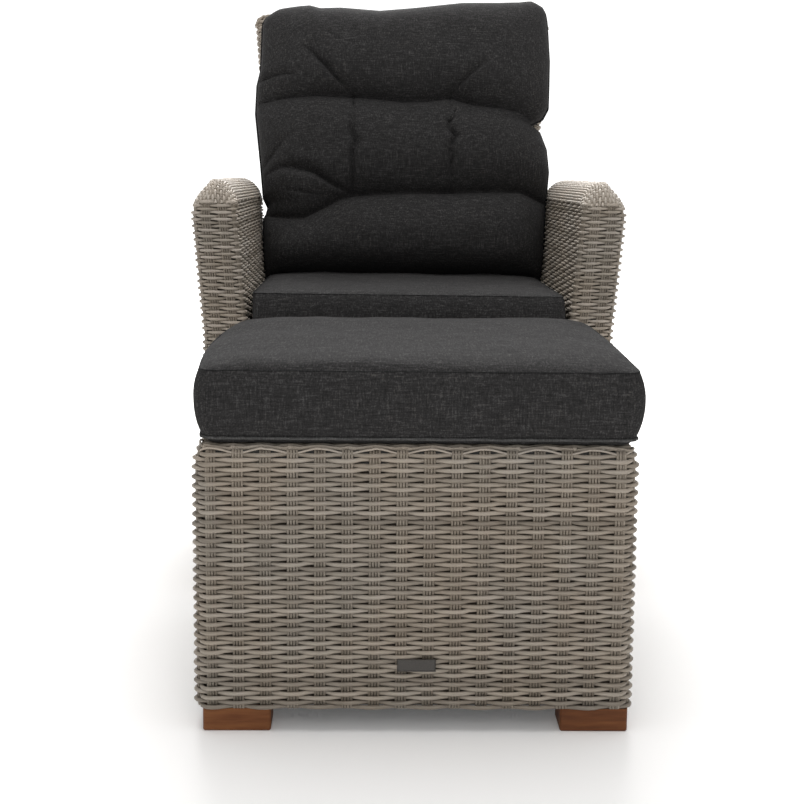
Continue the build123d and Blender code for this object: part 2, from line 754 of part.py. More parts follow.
# Lever on the back and the lockable gas spring below the seat
def lever_fork():
    """Two bent plates below the back's lower tube, which carry the gas spring's rear end."""
    bend = rake + half_travel
    eye = (lever_length * math.sin(bend), -lever_length * math.cos(bend))
    outline = link((0, 0), eye, lever_eye_radius)
    outline = outline + Pos(0, back_tube_low / 2) * Rectangle(2 * lever_eye_radius, back_tube_low)
    outline = outline + Circle(lever_eye_radius) - Pos(*eye) * Circle(lever_pin_radius)
    inside = cylinder_eye_width / 2 + pin_side_play
    bridge = block((-inside - lever_plate, inside + lever_plate),
                   (-lever_eye_radius, lever_eye_radius),
                   (back_tube_low - lever_plate, back_tube_low))
    shape = bridge
    for way in (-1, 1):
        shape = shape + plate_x(outline, sorted((way * inside, way * (inside + lever_plate))))
    return shape


lever_outside = cylinder_eye_width / 2 + pin_side_play + lever_plate
keep("lever_fork", back_place * lever_fork())
keep("lever_pin", bolt_x(lever_pin_radius, -lever_outside, lever_outside + nut_height, lever_y,
                         lever_z, bolt_head_radius, bolt_head_height))
keep("lever_pin_nut", nut_x(lever_pin_radius, lever_outside, 1, lever_y, lever_z,
                            bolt_head_radius, nut_height))


def gas_cylinder():
    """The spring's outer tube, closed at the rear with an eye, and guiding the rod in front."""
    tube = bar_y(cylinder_radius, (cylinder_front, cylinder_rear), 0, lever_z)
    neck = bar_y(cylinder_neck_radius, (cylinder_rear, lever_y), 0, lever_z)
    half = cylinder_eye_width / 2
    shape = tube + neck + bar_x(cylinder_eye_radius, (-half, half), lever_y, lever_z)
    bore_ys = (cylinder_front + guide_length, cylinder_rear - cylinder_wall)
    shape = shape - bar_y(cylinder_radius - cylinder_wall, bore_ys, 0, lever_z)
    shape = shape - bar_y(rod_radius + running_clearance,
                          (cylinder_front - overrun, cylinder_front + guide_length + cylinder_wall),
                          0, lever_z)
    return shape - bar_x(lever_pin_radius + running_clearance, grown((-half, half), overrun),
                         lever_y, lever_z)


piston_front = cylinder_front + guide_length + cylinder_wall
piston_ys = (piston_front, piston_front + piston_length)
rod_front = nose_y
release_hole = release_pin_hidden + release_travel + release_pin_gap


def gas_rod():
    rod = bar_y(rod_radius, (rod_front, piston_ys[1]), 0, lever_z)
    hole = bar_y(release_pin_radius + running_clearance,
                 (rod_front - overrun, rod_front + release_hole), 0, lever_z)
    return rod - hole


def gas_piston():
    piston = bar_y(cylinder_radius - cylinder_wall - running_clearance, piston_ys, 0, lever_z)
    return piston - bar_y(rod_radius, grown(piston_ys, overrun), 0, lever_z)


def release_head():
    """The forked end on the rod. Its pin holes leave the play that the straight travel needs."""
    width = (-head_half_width, head_half_width)
    tall = about(lever_z, 2 * head_half_width)
    shape = block(width, (nose_y, head_rear), tall)
    slab = plate_x(link((rod_pivot_y, lever_z), (nose_y, lever_z), head_half_width), width)
    slab = slab & block(width, (rod_pivot_y - 2 * head_half_width, nose_y), tall)
    slot = block((-head_slot_half_width, head_slot_half_width),
                 (rod_pivot_y - 2 * head_half_width, nose_y), grown(tall, overrun))
    shape = shape + (slab - slot)
    shape = shape - bar_y(rod_radius, grown((nose_y, head_rear), overrun), 0, lever_z)
    return shape - bar_x(open_pivot_radius, grown(width, overrun), rod_pivot_y, lever_z)


keep("gas_cylinder", gas_cylinder())
keep("gas_rod", gas_rod())
keep("gas_piston", gas_piston())
keep("release_head", release_head())
keep("release_pin", bar_y(release_pin_radius, (rod_front - release_pin_reach,
                                               rod_front + release_pin_hidden), 0, lever_z))

ear_gap = head_half_width + pin_side_play


def rod_bracket():
    """A folded bracket under the middle rail. Its ears hold the rod's pin and the release shaft."""
    ear_ys = (rod_pivot_y - head_half_width, shaft_y + head_half_width)
    ear_low = shaft_z - head_half_width
    outline = Pos((ear_ys[0] + ear_ys[1]) / 2, (ear_low + rail_low) / 2) * Rectangle(
        ear_ys[1] - ear_ys[0], rail_low - ear_low)
    outline = fillet(outline.vertices().sort_by(Axis.Y)[:2], head_half_width / 2)
    shape = block((-ear_gap - bracket_plate, ear_gap + bracket_plate), ear_ys,
                  (rail_low - bracket_plate, rail_low))
    for way in (-1, 1):
        shape = shape + plate_x(outline, sorted((way * ear_gap, way * (ear_gap + bracket_plate))))
    reach = grown((-ear_gap, ear_gap), overrun)
    shape = shape - bar_x(rod_pin_radius, reach, rod_pivot_y, rod_pivot_z)
    return shape - bar_x(shaft_radius + running_clearance, reach, shaft_y, shaft_z)


keep("rod_bracket", rod_bracket())
ear_face = ear_gap + bracket_plate
keep("rod_pivot_pin", bolt_x(rod_pin_radius, -ear_face, ear_face + nut_height, rod_pivot_y,
                             rod_pivot_z, bolt_head_radius, bolt_head_height))
keep("rod_pivot_nut", nut_x(rod_pin_radius, ear_face, 1, rod_pivot_y, rod_pivot_z,
                            bolt_head_radius, nut_height))


# Release: a shaft across the seat box, with a finger behind the pin and a handle outside the arm
handle_x = (arm_outer + handle_gap, arm_outer + handle_gap + handle_plate)


def release_shaft():
    shaft = bar_x(shaft_radius, (-ear_face - shaft_collar_thickness, handle_x[1]), shaft_y, shaft_z)
    finger = block((-finger_half_width, finger_half_width), (shaft_y - finger_thickness, shaft_y),
                   (shaft_z, lever_z + finger_over))
    return shaft + finger


def shaft_bushes():
    """Flanged sleeves in the two walls of the arm."""
    walls = ((arm_inner_half_spacing, arm_inner_half_spacing + weave_thickness, -1),
             (arm_outer - weave_thickness, arm_outer, 1))
    sleeves = []
    for low, high, way in walls:
        face = low if way < 0 else high
        flange = sorted((face, face + way * shaft_bush_flange))
        shape = bar_x(shaft_bush_radius, (low, high), shaft_y, shaft_z)
        shape = shape + bar_x(shaft_bush_radius + 2 * shaft_bush_flange, flange, shaft_y, shaft_z)
        sleeves.append((shape - bar_x(shaft_radius + running_clearance, grown((low, high), overrun),
                                      shaft_y, shaft_z)).solid())
    return Compound(sleeves)


tilt = math.radians(handle_angle)
handle_way = (-math.cos(tilt), math.sin(tilt))


def along_handle(distance):
    return (shaft_y + handle_way[0] * distance, shaft_z + handle_way[1] * distance)


def handle_lever():
    outline = link((shaft_y, shaft_z), along_handle(handle_length - handle_half_height),
                   handle_half_height)
    outline = outline + Pos(shaft_y, shaft_z) * Circle(handle_hub_radius)
    return plate_x(outline - Pos(shaft_y, shaft_z) * Circle(shaft_radius), handle_x)


def handle_grip():
    """A rounded sleeve pushed over the handle's front end."""
    half = grip_height / 2
    outline = link(along_handle(handle_length - grip_length + half),
                   along_handle(handle_length - half), half)
    body = plate_x(outline, about((handle_x[0] + handle_x[1]) / 2, grip_thickness))
    rims = body.faces().filter_by(Axis.X).edges()
    return chamfer(rims, grip_edge_chamfer) - handle_lever()


keep("release_shaft", release_shaft())
keep("shaft_bushes", shaft_bushes())
keep("handle_lever", handle_lever())
keep("handle_grip", handle_grip())


# Footstool
stool_x = about(0, stool_width)
stool_y = (stool_front, stool_rear)
stool_middle = (stool_front + stool_rear) / 2
stool_deck_low = stool_rim_height - weave_thickness


def stool_ring(inset, zs):
    outline = RectangleRounded(stool_width - 2 * inset, stool_depth - 2 * inset,
                               stool_corner_radius - inset)
    return Pos(0, stool_middle, zs[0]) * extrude(outline, amount=zs[1] - zs[0])


def stool_frame():
    """Four posts, a loop below the deck and two slats, welded into one piece."""
    xs, ys = grown(stool_x, -weave_thickness), grown(stool_y, -weave_thickness)
    inset = stool_corner_radius - weave_thickness
    low_corner = inset * (1 - math.sqrt(0.5)) + running_clearance
    xs, ys = grown(xs, -low_corner), grown(ys, -low_corner)
    top = (stool_deck_low - seat_tube, stool_deck_low)
    posts = [((xs[0], xs[0] + seat_tube), (ys[0], ys[0] + seat_tube)),
             ((xs[1] - seat_tube, xs[1]), (ys[0], ys[0] + seat_tube)),
             ((xs[0], xs[0] + seat_tube), (ys[1] - seat_tube, ys[1])),
             ((xs[1] - seat_tube, xs[1]), (ys[1] - seat_tube, ys[1]))]
    tubes = [(px, py, (foot_height, stool_deck_low)) for px, py in posts]
    across = (xs[0] + seat_tube, xs[1] - seat_tube)
    along = (ys[0] + seat_tube, ys[1] - seat_tube)
    tubes += [(across, posts[0][1], top), (across, posts[2][1], top)]
    tubes += [(posts[0][0], along, top), (posts[1][0], along, top)]
    third = (along[1] - along[0]) / 3
    tubes += [(across, about(along[0] + third * step, seat_tube), top) for step in (1, 2)]
    return tube_frame(tubes, open_ends=range(len(posts)))


keep("stool_skin", stool_ring(0, (foot_height, stool_rim_height))
     - stool_ring(weave_thickness, (foot_height - overrun, stool_rim_height + overrun)))
keep("stool_deck", stool_ring(weave_thickness, (stool_deck_low, stool_rim_height)))
keep("stool_frame", stool_frame())
stool_cushion_low = stool_rim_height + soft_clearance
keep("stool_cushion",
     box_cushion(stool_cushion_width / 2, about(stool_middle, stool_cushion_depth),
                 stool_cushion_low, stool_cushion_low + stool_cushion_thickness,
                 stool_cushion_low + stool_cushion_thickness, stool_cushion_crown,
                 stool_cushion_bulge, stool_cushion_edge_drop))

stool_screws = []
foot_x = stool_width / 2 - foot_inset - foot_width / 2
foot_y = stool_depth / 2 - foot_inset - foot_depth / 2
for side_name, side in (("left", -1), ("right", 1)):
    for end_name, end in (("front", -1), ("rear", 1)):
        place = (side * foot_x, stool_middle + end * foot_y)
        keep("stool_foot_" + end_name + "_" + side_name, foot(foot_width, foot_depth, *place))
        stool_screws += [screw(*p).solid() for p in screw_places(foot_width, foot_depth, *place)]
keep("stool_foot_screws", Compound(stool_screws))

print(len(nodes), "nodes")
print("hinge axis", hinge_y - set_middle, hinge_z)
print("lever pin", lever_y - set_middle, lever_z)
print("release shaft", shaft_y - set_middle, shaft_z)
print("gas travel per radian", gas_travel / (2 * half_travel))
print("release travel per radian", release_travel / math.radians(release_angle))
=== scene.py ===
import itertools
import json
import math

import bpy
import numpy as np
from mathutils import Euler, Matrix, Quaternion, Vector


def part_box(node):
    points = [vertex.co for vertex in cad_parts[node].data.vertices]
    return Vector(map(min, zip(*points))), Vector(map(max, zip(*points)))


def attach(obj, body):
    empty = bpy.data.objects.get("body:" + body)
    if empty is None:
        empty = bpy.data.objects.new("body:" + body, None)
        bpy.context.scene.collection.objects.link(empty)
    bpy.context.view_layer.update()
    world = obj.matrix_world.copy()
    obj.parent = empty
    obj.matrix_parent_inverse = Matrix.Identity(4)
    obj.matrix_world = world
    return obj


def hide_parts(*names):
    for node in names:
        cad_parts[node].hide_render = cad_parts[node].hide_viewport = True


# A woven reclining garden armchair with dark cushions, and its matching footstool. Metres.
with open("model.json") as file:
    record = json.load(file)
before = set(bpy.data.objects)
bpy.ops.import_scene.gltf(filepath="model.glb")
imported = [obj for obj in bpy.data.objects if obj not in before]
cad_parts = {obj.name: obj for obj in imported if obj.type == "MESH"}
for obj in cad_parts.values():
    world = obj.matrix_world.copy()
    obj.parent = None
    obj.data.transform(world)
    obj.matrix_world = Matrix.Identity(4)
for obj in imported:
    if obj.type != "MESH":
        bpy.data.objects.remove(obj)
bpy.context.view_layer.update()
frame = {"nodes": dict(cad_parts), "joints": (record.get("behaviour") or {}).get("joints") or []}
rng = np.random.default_rng(7)

MM = 0.001


def node_box(name):
    low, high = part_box(name)
    return np.array(low), np.array(high)


# Strands and stakes of the weave
STRAND_RADIUS = 2.95 * MM
STRAND_THINNING = 0.03
STAKE_RADIUS = 1.75 * MM
STAKE_DEPTH = 4.7 * MM
# Depth of the painted-shade wall: a dark sheet behind the weave that stands in for the shade inside the hollow
# pieces.
SHADE_WALL_DEPTH = 10.4 * MM
STAKE_SPACING = 3.7 * MM
STAKES_IN_GROUP = 4
ROW_PITCH = 6.0 * MM
ARM_ROW_PITCH = 5.45 * MM
ARM_STRAND_SHARE = 0.9
STAKE_PITCH = 34.5 * MM
WEAVE_SWING = 3.7 * MM
WEAVE_DEPTH = 5.0 * MM
SAMPLES_PER_STAKE = 4
STRAND_SIDES = 6
ROW_WANDER = 0.35 * MM
ROW_TILT = 0.3 * MM
TILT_SHARES = (0.3, 1.5)
STRAND_SHARES = (0.95, 1.04)
STAKE_DEPTH_SPREAD = 0.5 * MM
# Stakes' tones, darker than the weavers': painted shade of the recess behind them.
STAKE_SHADE_TONES = (-0.1, 0.4)
GROUP_SHIFTS = (np.arange(STAKES_IN_GROUP) - (STAKES_IN_GROUP - 1) / 2) * STAKE_SPACING

FOOT_HEIGHT = node_box("stool_foot_front_left")[1][2]


def linked(name, data):
    """A new object with the given data, in the scene."""
    made = bpy.data.objects.new(name, data)
    bpy.context.scene.collection.objects.link(made)
    return made


def mesh_object(name, points, quads, tone=None):
    """A mesh from arrays of points and quads, and a tone for each point where the look asks for one."""
    mesh = bpy.data.meshes.new(name)
    mesh.vertices.add(len(points))
    mesh.vertices.foreach_set("co", np.asarray(points, np.float32).ravel())
    mesh.loops.add(4 * len(quads))
    mesh.loops.foreach_set("vertex_index", np.asarray(quads, np.int32).ravel())
    mesh.polygons.add(len(quads))
    mesh.polygons.foreach_set("loop_start", np.arange(0, 4 * len(quads), 4, dtype=np.int32))
    mesh.polygons.foreach_set("use_smooth", np.ones(len(quads), bool))
    mesh.update(calc_edges=True)
    if tone is not None:
        mesh.attributes.new("tone", "FLOAT", "POINT").data.foreach_set("value", np.asarray(tone, np.float32))
    return linked(name, mesh)


def loop_quads(here, ahead):
    """Quads between closed rings of point numbers and the rings that follow them."""
    return np.stack([here, np.roll(here, -1, -1), np.roll(ahead, -1, -1), ahead], -1).reshape(-1, 4)


def grid_quads(index):
    return np.stack([index[:-1, :-1], index[1:, :-1], index[1:, 1:], index[:-1, 1:]], -1).reshape(-1, 4)


class Strands:
    """Many round strands gathered into one mesh."""

    def __init__(self):
        self.points, self.quads, self.tone = [], [], []
        self.count = 0

    def add(self, path, normals, radius, sides=STRAND_SIDES, closed=False, tone=None):
        """One strand along path. normals point away from the weave: one for each point, or one for all."""
        path = np.asarray(path, float)
        normals = np.broadcast_to(np.asarray(normals, float), path.shape)
        if closed:
            tangent = np.roll(path, -1, 0) - np.roll(path, 1, 0)
        else:
            tangent = np.gradient(path, axis=0)
        tangent /= np.linalg.norm(tangent, axis=1)[:, None]
        normals = normals - (normals * tangent).sum(1)[:, None] * tangent
        normals /= np.linalg.norm(normals, axis=1)[:, None]
        across = np.cross(tangent, normals)
        angles = 2 * math.pi * (np.arange(sides) + 0.5) / sides
        ring = (normals[:, None, :] * np.cos(angles)[None, :, None]
                + across[:, None, :] * np.sin(angles)[None, :, None])
        radii = np.broadcast_to(np.asarray(radius, float), (len(path),))
        points = path[:, None, :] + ring * radii[:, None, None]
        steps = len(path)
        index = np.arange(steps * sides).reshape(steps, sides) + self.count
        ahead = np.roll(index, -1, 0) if closed else index[1:]
        here = index if closed else index[:-1]
        self.quads.append(loop_quads(here, ahead))
        if not closed:
            for row, flip in ((index[0], True), (index[-1], False)):
                halves = [[row[0], row[i], row[i + 1], row[i + 2]] for i in range(1, sides - 2, 2)]
                self.quads.append(np.array([h[::-1] if flip else h for h in halves]))
        self.points.append(points.reshape(-1, 3))
        self.tone.append(np.full(steps * sides, rng.random() if tone is None else tone))
        self.count += steps * sides

    def piece(self, name):
        return mesh_object(name, *map(np.concatenate, (self.points, self.quads, self.tone)))


# Closed outlines and paths
def ring_point(s, half_x, half_y, radius):
    """Points and outward normals on a rounded rectangle, s metres round it from its front middle."""
    flat_x, flat_y, turn = half_x - radius, half_y - radius, math.pi * radius / 2
    spans = [flat_x, turn, 2 * flat_y, turn, 2 * flat_x, turn, 2 * flat_y, turn, flat_x]
    knots = np.concatenate([[0], np.cumsum(spans)])
    quarter = math.pi / 2
    headings = quarter * np.array([0, 0, 1, 1, 2, 2, 3, 3, 4, 4])
    middle_x = flat_x * np.array([0, 1, 1, 1, 1, -1, -1, -1, -1, 0])
    middle_y = flat_y * np.array([-1, -1, -1, 1, 1, 1, 1, -1, -1, -1])
    s = np.mod(s, knots[-1])
    heading = np.interp(s, knots, headings)
    normal = np.stack([np.sin(heading), -np.cos(heading)], -1)
    middle = np.stack([np.interp(s, knots, middle_x), np.interp(s, knots, middle_y)], -1)
    return middle + radius * normal, normal


def ring_length(half_x, half_y, radius):
    return 4 * (half_x - radius) + 4 * (half_y - radius) + 2 * math.pi * radius


def upright(normal):
    """Normals given in plan, as normals in space."""
    return np.column_stack([normal, np.zeros(len(normal))])


def evened(place):
    """A place function that takes single values along with arrays."""
    return lambda *values: place(*np.atleast_1d(*np.broadcast_arrays(*values)))


def swing(phase, row):
    """How far a weaver stands out at a stake phase: in front of one stake, behind the next."""
    return np.cos(math.pi * (phase + row))


def loop_weave(strands, rows, place, stakes, sides=STRAND_SIDES, share=1.0, pale=0.0):
    """Weavers laid in closed loops. place(height, phase, outward) gives points and normals."""
    phase = np.arange(stakes * SAMPLES_PER_STAKE) / SAMPLES_PER_STAKE
    for row, height in enumerate(rows):
        stake = np.floor(phase + 0.5).astype(int) % stakes
        lift = rng.normal(0, ROW_WANDER, stakes)[stake]
        lift = lift + ROW_TILT * rng.uniform(*TILT_SHARES, stakes)[stake] * np.sin(math.pi * (phase + row))
        outward = WEAVE_SWING * swing(phase, row) - WEAVE_DEPTH
        outward = outward + rng.normal(0, ROW_WANDER / 2, len(phase))
        path, normals = place(height + lift, phase, outward)
        strands.add(path, normals, strand_radius(phase, row) * share, sides, True, rng.random() + pale)


def strand_radius(phase, row):
    """A weaver looks full where it lies in front of a stake and thin where it dives between two."""
    front = np.clip(swing(phase, row), 0, 1)
    return STRAND_RADIUS * rng.uniform(*STRAND_SHARES) * (1 - STRAND_THINNING * (1 - front))


def stake_group(strands, place, phase, heights, pitch):
    """One stake: thin strands side by side, standing behind the weavers."""
    for shift in GROUP_SHIFTS:
        depth = -STAKE_DEPTH - rng.uniform(0, STAKE_DEPTH_SPREAD)
        path, normals = place(heights, phase + shift / pitch, depth)
        # A darker tone than the weavers: painted shade of the stake's recess.
        strands.add(path, normals, STAKE_RADIUS, tone=rng.uniform(*STAKE_SHADE_TONES))


def painted_shade_wall(name, body, place, heights, count):
    """A painted-shade wall: a dark sheet behind the weavers, closed round the piece, that stands in for the
    shade inside it and stops the light between them.
    """
    phase = np.arange(count * 2) / 2
    rings = [place(height, phase, -SHADE_WALL_DEPTH)[0] for height in heights]
    index = np.arange(len(rings) * len(phase)).reshape(len(rings), -1)
    wall = mesh_object(name, np.concatenate(rings), loop_quads(index[:-1], index[1:]))
    add_piece(wall, body, painted_shade_wall_look)


def row_heights(low, high, pitch=ROW_PITCH):
    count = int(round((high - low - pitch) / pitch)) + 1
    return low + STRAND_RADIUS + np.arange(count) * (high - low - 2 * STRAND_RADIUS) / (count - 1)


# Materials
def material(name):
    """A new material with its node tree, its shader and the place on the object as a socket."""
    made = bpy.data.materials.new(name)
    made.use_nodes = True
    tree = made.node_tree
    shader = tree.nodes["Principled BSDF"]
    return made, tree, shader, tree.nodes.new("ShaderNodeTexCoord").outputs["Object"]


def link(tree, a, b):
    tree.links.new(a, b)


def set_inputs(node, values):
    for key, value in values.items():
        node.inputs[key].default_value = value


def ramp(tree, factor, stops):
    """A colour ramp from a list of (place, colour)."""
    node = tree.nodes.new("ShaderNodeValToRGB")
    elements = node.color_ramp.elements
    for number, (place, colour) in enumerate(stops):
        element = elements[number] if number < 2 else elements.new(place)
        element.position = place
        element.color = (*colour, 1)
    link(tree, factor, node.inputs["Fac"])
    return node.outputs["Color"]


def math_node(tree, operation, a, b):
    node = tree.nodes.new("ShaderNodeMath")
    node.operation = operation
    for socket, value in zip(node.inputs, (a, b)):
        if isinstance(value, (int, float)):
            socket.default_value = value
        else:
            link(tree, value, socket)
    return node.outputs[0]


def weighted(tree, a, b, share):
    """The sum of a by its share and b by the rest."""
    rest = math_node(tree, "MULTIPLY", b, 1 - share)
    return math_node(tree, "ADD", math_node(tree, "MULTIPLY", a, share), rest)


def noise(tree, vector, scale, detail=2.0, roughness=0.5):
    """Noise of one scale, or stretched to a scale for each axis."""
    if isinstance(scale, tuple):
        mapping = tree.nodes.new("ShaderNodeMapping")
        mapping.inputs["Scale"].default_value = scale
        link(tree, vector, mapping.inputs["Vector"])
        vector, scale = mapping.outputs["Vector"], 1.0
    node = tree.nodes.new("ShaderNodeTexNoise")
    set_inputs(node, {"Scale": scale, "Detail": detail, "Roughness": roughness})
    link(tree, vector, node.inputs["Vector"])
    return node.outputs["Fac"]


def mixed(tree, factor, a, b, way="MIX"):
    node = tree.nodes.new("ShaderNodeMix")
    node.data_type = "RGBA"
    node.blend_type = way
    for key, value in (("Factor", factor), ("A", a), ("B", b)):
        socket = [i for i in node.inputs if i.name == key and i.enabled][0]
        if isinstance(value, float):
            socket.default_value = value
        else:
            link(tree, value, socket)
    return [o for o in node.outputs if o.enabled][0]


def bump(tree, height, distance, shader, strength=1.0):
    node = tree.nodes.new("ShaderNodeBump")
    set_inputs(node, {"Strength": strength, "Distance": distance})
    link(tree, height, node.inputs["Height"])
    link(tree, node.outputs["Normal"], shader.inputs["Normal"])


def weave_material():
    """Grey-brown plastic strand with fine streaks along it and a tone of its own for each strand; stakes get
    darker tones as painted shade and the arm caps lighter ones as painted light.
    """
    made, tree, shader, place = material("woven_strand")
    tone = tree.nodes.new("ShaderNodeAttribute")
    tone.attribute_name = "tone"
    streak = noise(tree, place, (60, 60, 700), 3.0)
    patch = noise(tree, place, 14.0, 2.0)
    value = weighted(tree, tone.outputs["Fac"], streak, 0.5)
    light = ramp(tree, value, [(0.1, (0.20, 0.175, 0.145)), (0.5, (0.33, 0.295, 0.25)),
                               (0.85, (0.43, 0.39, 0.345)), (1.0, (0.48, 0.445, 0.4))])
    warm = ramp(tree, patch, [(0.35, (0.97, 0.96, 0.95)), (0.65, (1.0, 0.95, 0.9))])
    link(tree, mixed(tree, 1.0, light, warm, "MULTIPLY"), shader.inputs["Base Color"])
    set_inputs(shader, {"Roughness": 0.52, "Specular IOR Level": 0.35})
    bump(tree, streak, 0.0003, shader, 0.5)
    return made


def fabric_material(name, dark, middle, light):
    """Heathered outdoor cloth: threads of several tones crossing at right angles."""
    made, tree, shader, place = material(name)
    runs = [noise(tree, place, scale, 2.0, 0.55)
            for scale in ((60, 520, 520), (520, 60, 520), (520, 520, 60))]
    total = math_node(tree, "ADD", math_node(tree, "ADD", *runs[:2]), runs[2])
    value = math_node(tree, "MULTIPLY", total, 1 / len(runs))
    colour = ramp(tree, value, [(0.38, dark), (0.52, middle), (0.66, light)])
    picked = math_node(tree, "MAXIMUM", math_node(tree, "MAXIMUM", *runs[:2]), runs[2])
    fleck = ramp(tree, picked, [(0.64, (0, 0, 0)), (0.82, (1, 1, 1))])
    patch = noise(tree, place, 18.0, 3.0)
    warm = ramp(tree, patch, [(0.35, light), (0.65, (light[0] * 1.15, light[1], light[2] * 0.8))])
    flecked = mixed(tree, math_node(tree, "MULTIPLY", fleck, 0.5), colour, warm)
    link(tree, flecked, shader.inputs["Base Color"])
    set_inputs(shader, {"Roughness": 0.9, "Specular IOR Level": 0.04, "Sheen Weight": 0.02,
                        "Sheen Roughness": 0.5})
    bump(tree, value, 0.0006, shader, 0.6)
    return made


def teak_material():
    made, tree, shader, place = material("oiled_teak")
    grain = noise(tree, place, (14, 160, 160), 5.0, 0.6)
    band = noise(tree, place, (5, 42, 42))
    colour = ramp(tree, weighted(tree, grain, band, 0.6), [(0.3, (0.072, 0.022, 0.0062)),
                                                           (0.5, (0.138, 0.046, 0.0135)),
                                                           (0.7, (0.215, 0.082, 0.026))])
    link(tree, colour, shader.inputs["Base Color"])
    set_inputs(shader, {"Roughness": 0.6, "Specular IOR Level": 0.25})
    bump(tree, grain, 0.0004, shader, 0.5)
    return made


def plain_material(name, colour, roughness, metallic, speck):
    """Metal, plastic or rubber with fine specks of the given scale."""
    made, tree, shader, place = material(name)
    grain = noise(tree, place, speck, 3.0)
    low = tuple(c * 0.85 for c in colour)
    link(tree, ramp(tree, grain, [(0.35, low), (0.65, colour)]), shader.inputs["Base Color"])
    rough = tree.nodes.new("ShaderNodeMapRange")
    set_inputs(rough, {"To Min": roughness * 0.8, "To Max": roughness * 1.2})
    link(tree, grain, rough.inputs["Value"])
    link(tree, rough.outputs["Result"], shader.inputs["Roughness"])
    shader.inputs["Metallic"].default_value = metallic
    bump(tree, grain, 0.0002, shader, 0.3)
    return made


weave_look = weave_material()
cloth_look = fabric_material("cushion_cloth", (0.017, 0.0165, 0.0165), (0.031, 0.030, 0.030),
                             (0.075, 0.073, 0.073))
# A darker copy of the cushion cloth for the seams and piping: painted shade of their grooves.
painted_shade_piping_look = fabric_material("piping_cloth_painted_shade", (0.012, 0.012, 0.012), (0.02, 0.02, 0.02),
                              (0.045, 0.045, 0.046))
# A lighter copy of the cushion cloth for the welt: painted light from above.
painted_light_welt_look = fabric_material("welt_cloth_painted_light", (0.035, 0.034, 0.033), (0.07, 0.069, 0.068),
                            (0.12, 0.118, 0.116))
teak_look = teak_material()
coated_look = plain_material("coated_steel", (0.045, 0.043, 0.042), 0.5, 0.0, 900.0)
zinc_look = plain_material("zinc_steel", (0.55, 0.56, 0.58), 0.35, 1.0, 500.0)
rod_look = plain_material("bright_rod", (0.75, 0.76, 0.78), 0.12, 1.0, 300.0)
nylon_look = plain_material("nylon", (0.03, 0.03, 0.032), 0.45, 0.0, 700.0)
rubber_look = plain_material("grip_rubber", (0.018, 0.018, 0.018), 0.75, 0.0, 1200.0)
# Dark brown of the painted-shade walls behind the weave.
painted_shade_wall_look = plain_material("painted_shade_wall", (0.045, 0.034, 0.026), 0.9, 0.0, 300.0)
badge_look = plain_material("badge_metal", (0.09, 0.085, 0.08), 0.35, 1.0, 900.0)


def add_weave(strands, name, body, replaced=()):
    add_piece(strands.piece(name), body, weave_look, replaced)


def dress(piece, look):
    piece.data.materials.clear()
    piece.data.materials.append(look)


def add_piece(piece, body, look, replaced=()):
    dress(piece, look)
    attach(piece, body)
    if replaced:
        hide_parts(*replaced)


# Footstool
stool_low, stool_high = node_box("stool_skin")
STOOL_WIDER = np.array([2.5, 0, 0]) * MM
stool_middle = (stool_low + stool_high) / 2 - STOOL_WIDER
stool_half = (stool_high - stool_low) / 2 + STOOL_WIDER
STOOL_CORNER = 22 * MM
STOOL_STAKES = 62
STOOL_TONE = -0.28
BORDER_RADIUS = 1.5 * MM
BORDER_RISE = 7 * MM
STOOL_RIM = stool_high[2] - 2 * MM
RIM_INSET = 7 * MM
RIM_FADE = 26 * MM
STAKE_GAPS = (27 * MM, 19 * MM, 12 * MM, BORDER_RISE / 2)
SHADE_WALL_START = 4 * MM
ARCH_DEPTH = 2.5 * MM
ARCH_WANDER = 0.3 * MM
stool_pitch = ring_length(stool_half[0], stool_half[1], STOOL_CORNER) / STOOL_STAKES


@evened
def stool_place(height, phase, outward):
    """A place on the footstool's woven wall."""
    flat, normal = ring_point((phase + 0.5) * stool_pitch, stool_half[0], stool_half[1], STOOL_CORNER)
    rim_share = np.clip(1 - (stool_high[2] - height) / RIM_FADE, 0, 1)
    flat = flat + normal * (outward - RIM_INSET * rim_share ** 1.5)[:, None]
    return np.column_stack([flat + stool_middle[:2], height]), upright(normal)


def stool_weave():
    strands = Strands()
    loop_weave(strands, row_heights(stool_low[2], STOOL_RIM - BORDER_RISE), stool_place, STOOL_STAKES,
               pale=STOOL_TONE)
    add_weave(strands, "stool_weave", "footstool", ("stool_skin",))
    stakes = Strands()
    heights = [stool_low[2] + MM] + [STOOL_RIM - gap for gap in STAKE_GAPS]
    for number in range(STOOL_STAKES):
        stake_group(stakes, stool_place, number, heights, stool_pitch)
    add_weave(stakes, "stool_stakes", "footstool")
    # A dark painted-shade wall behind the stool's weave.
    heights = (stool_low[2] + SHADE_WALL_START, STOOL_RIM - STAKE_GAPS[0], STOOL_RIM - BORDER_RISE)
    painted_shade_wall("stool_painted_shade_wall", "footstool", stool_place, heights, STOOL_STAKES)


def stool_border():
    """Two thin strands arch over the stakes' ends: the outer over every second one, the inner between."""
    strands = Strands()
    per_stake = 8
    phase = np.arange(STOOL_STAKES * per_stake) / per_stake
    for turn, outset, lift in ((0, 1.5 * MM, 0), (1, -3.0 * MM, 1.0 * MM)):
        arch = np.cos(math.pi * (phase - turn) / 2) ** 2
        height = STOOL_RIM - BORDER_RADIUS + lift - BORDER_RISE * (1 - arch ** 0.8)
        height = height + rng.normal(0, ARCH_WANDER, STOOL_STAKES)[np.floor(phase).astype(int)] * arch
        outward = ARCH_DEPTH * (2 * arch - 1) + outset - WEAVE_DEPTH
        path, normals = stool_place(height, phase, outward)
        strands.add(path, normals, BORDER_RADIUS, closed=True)
    add_weave(strands, "stool_border", "footstool")


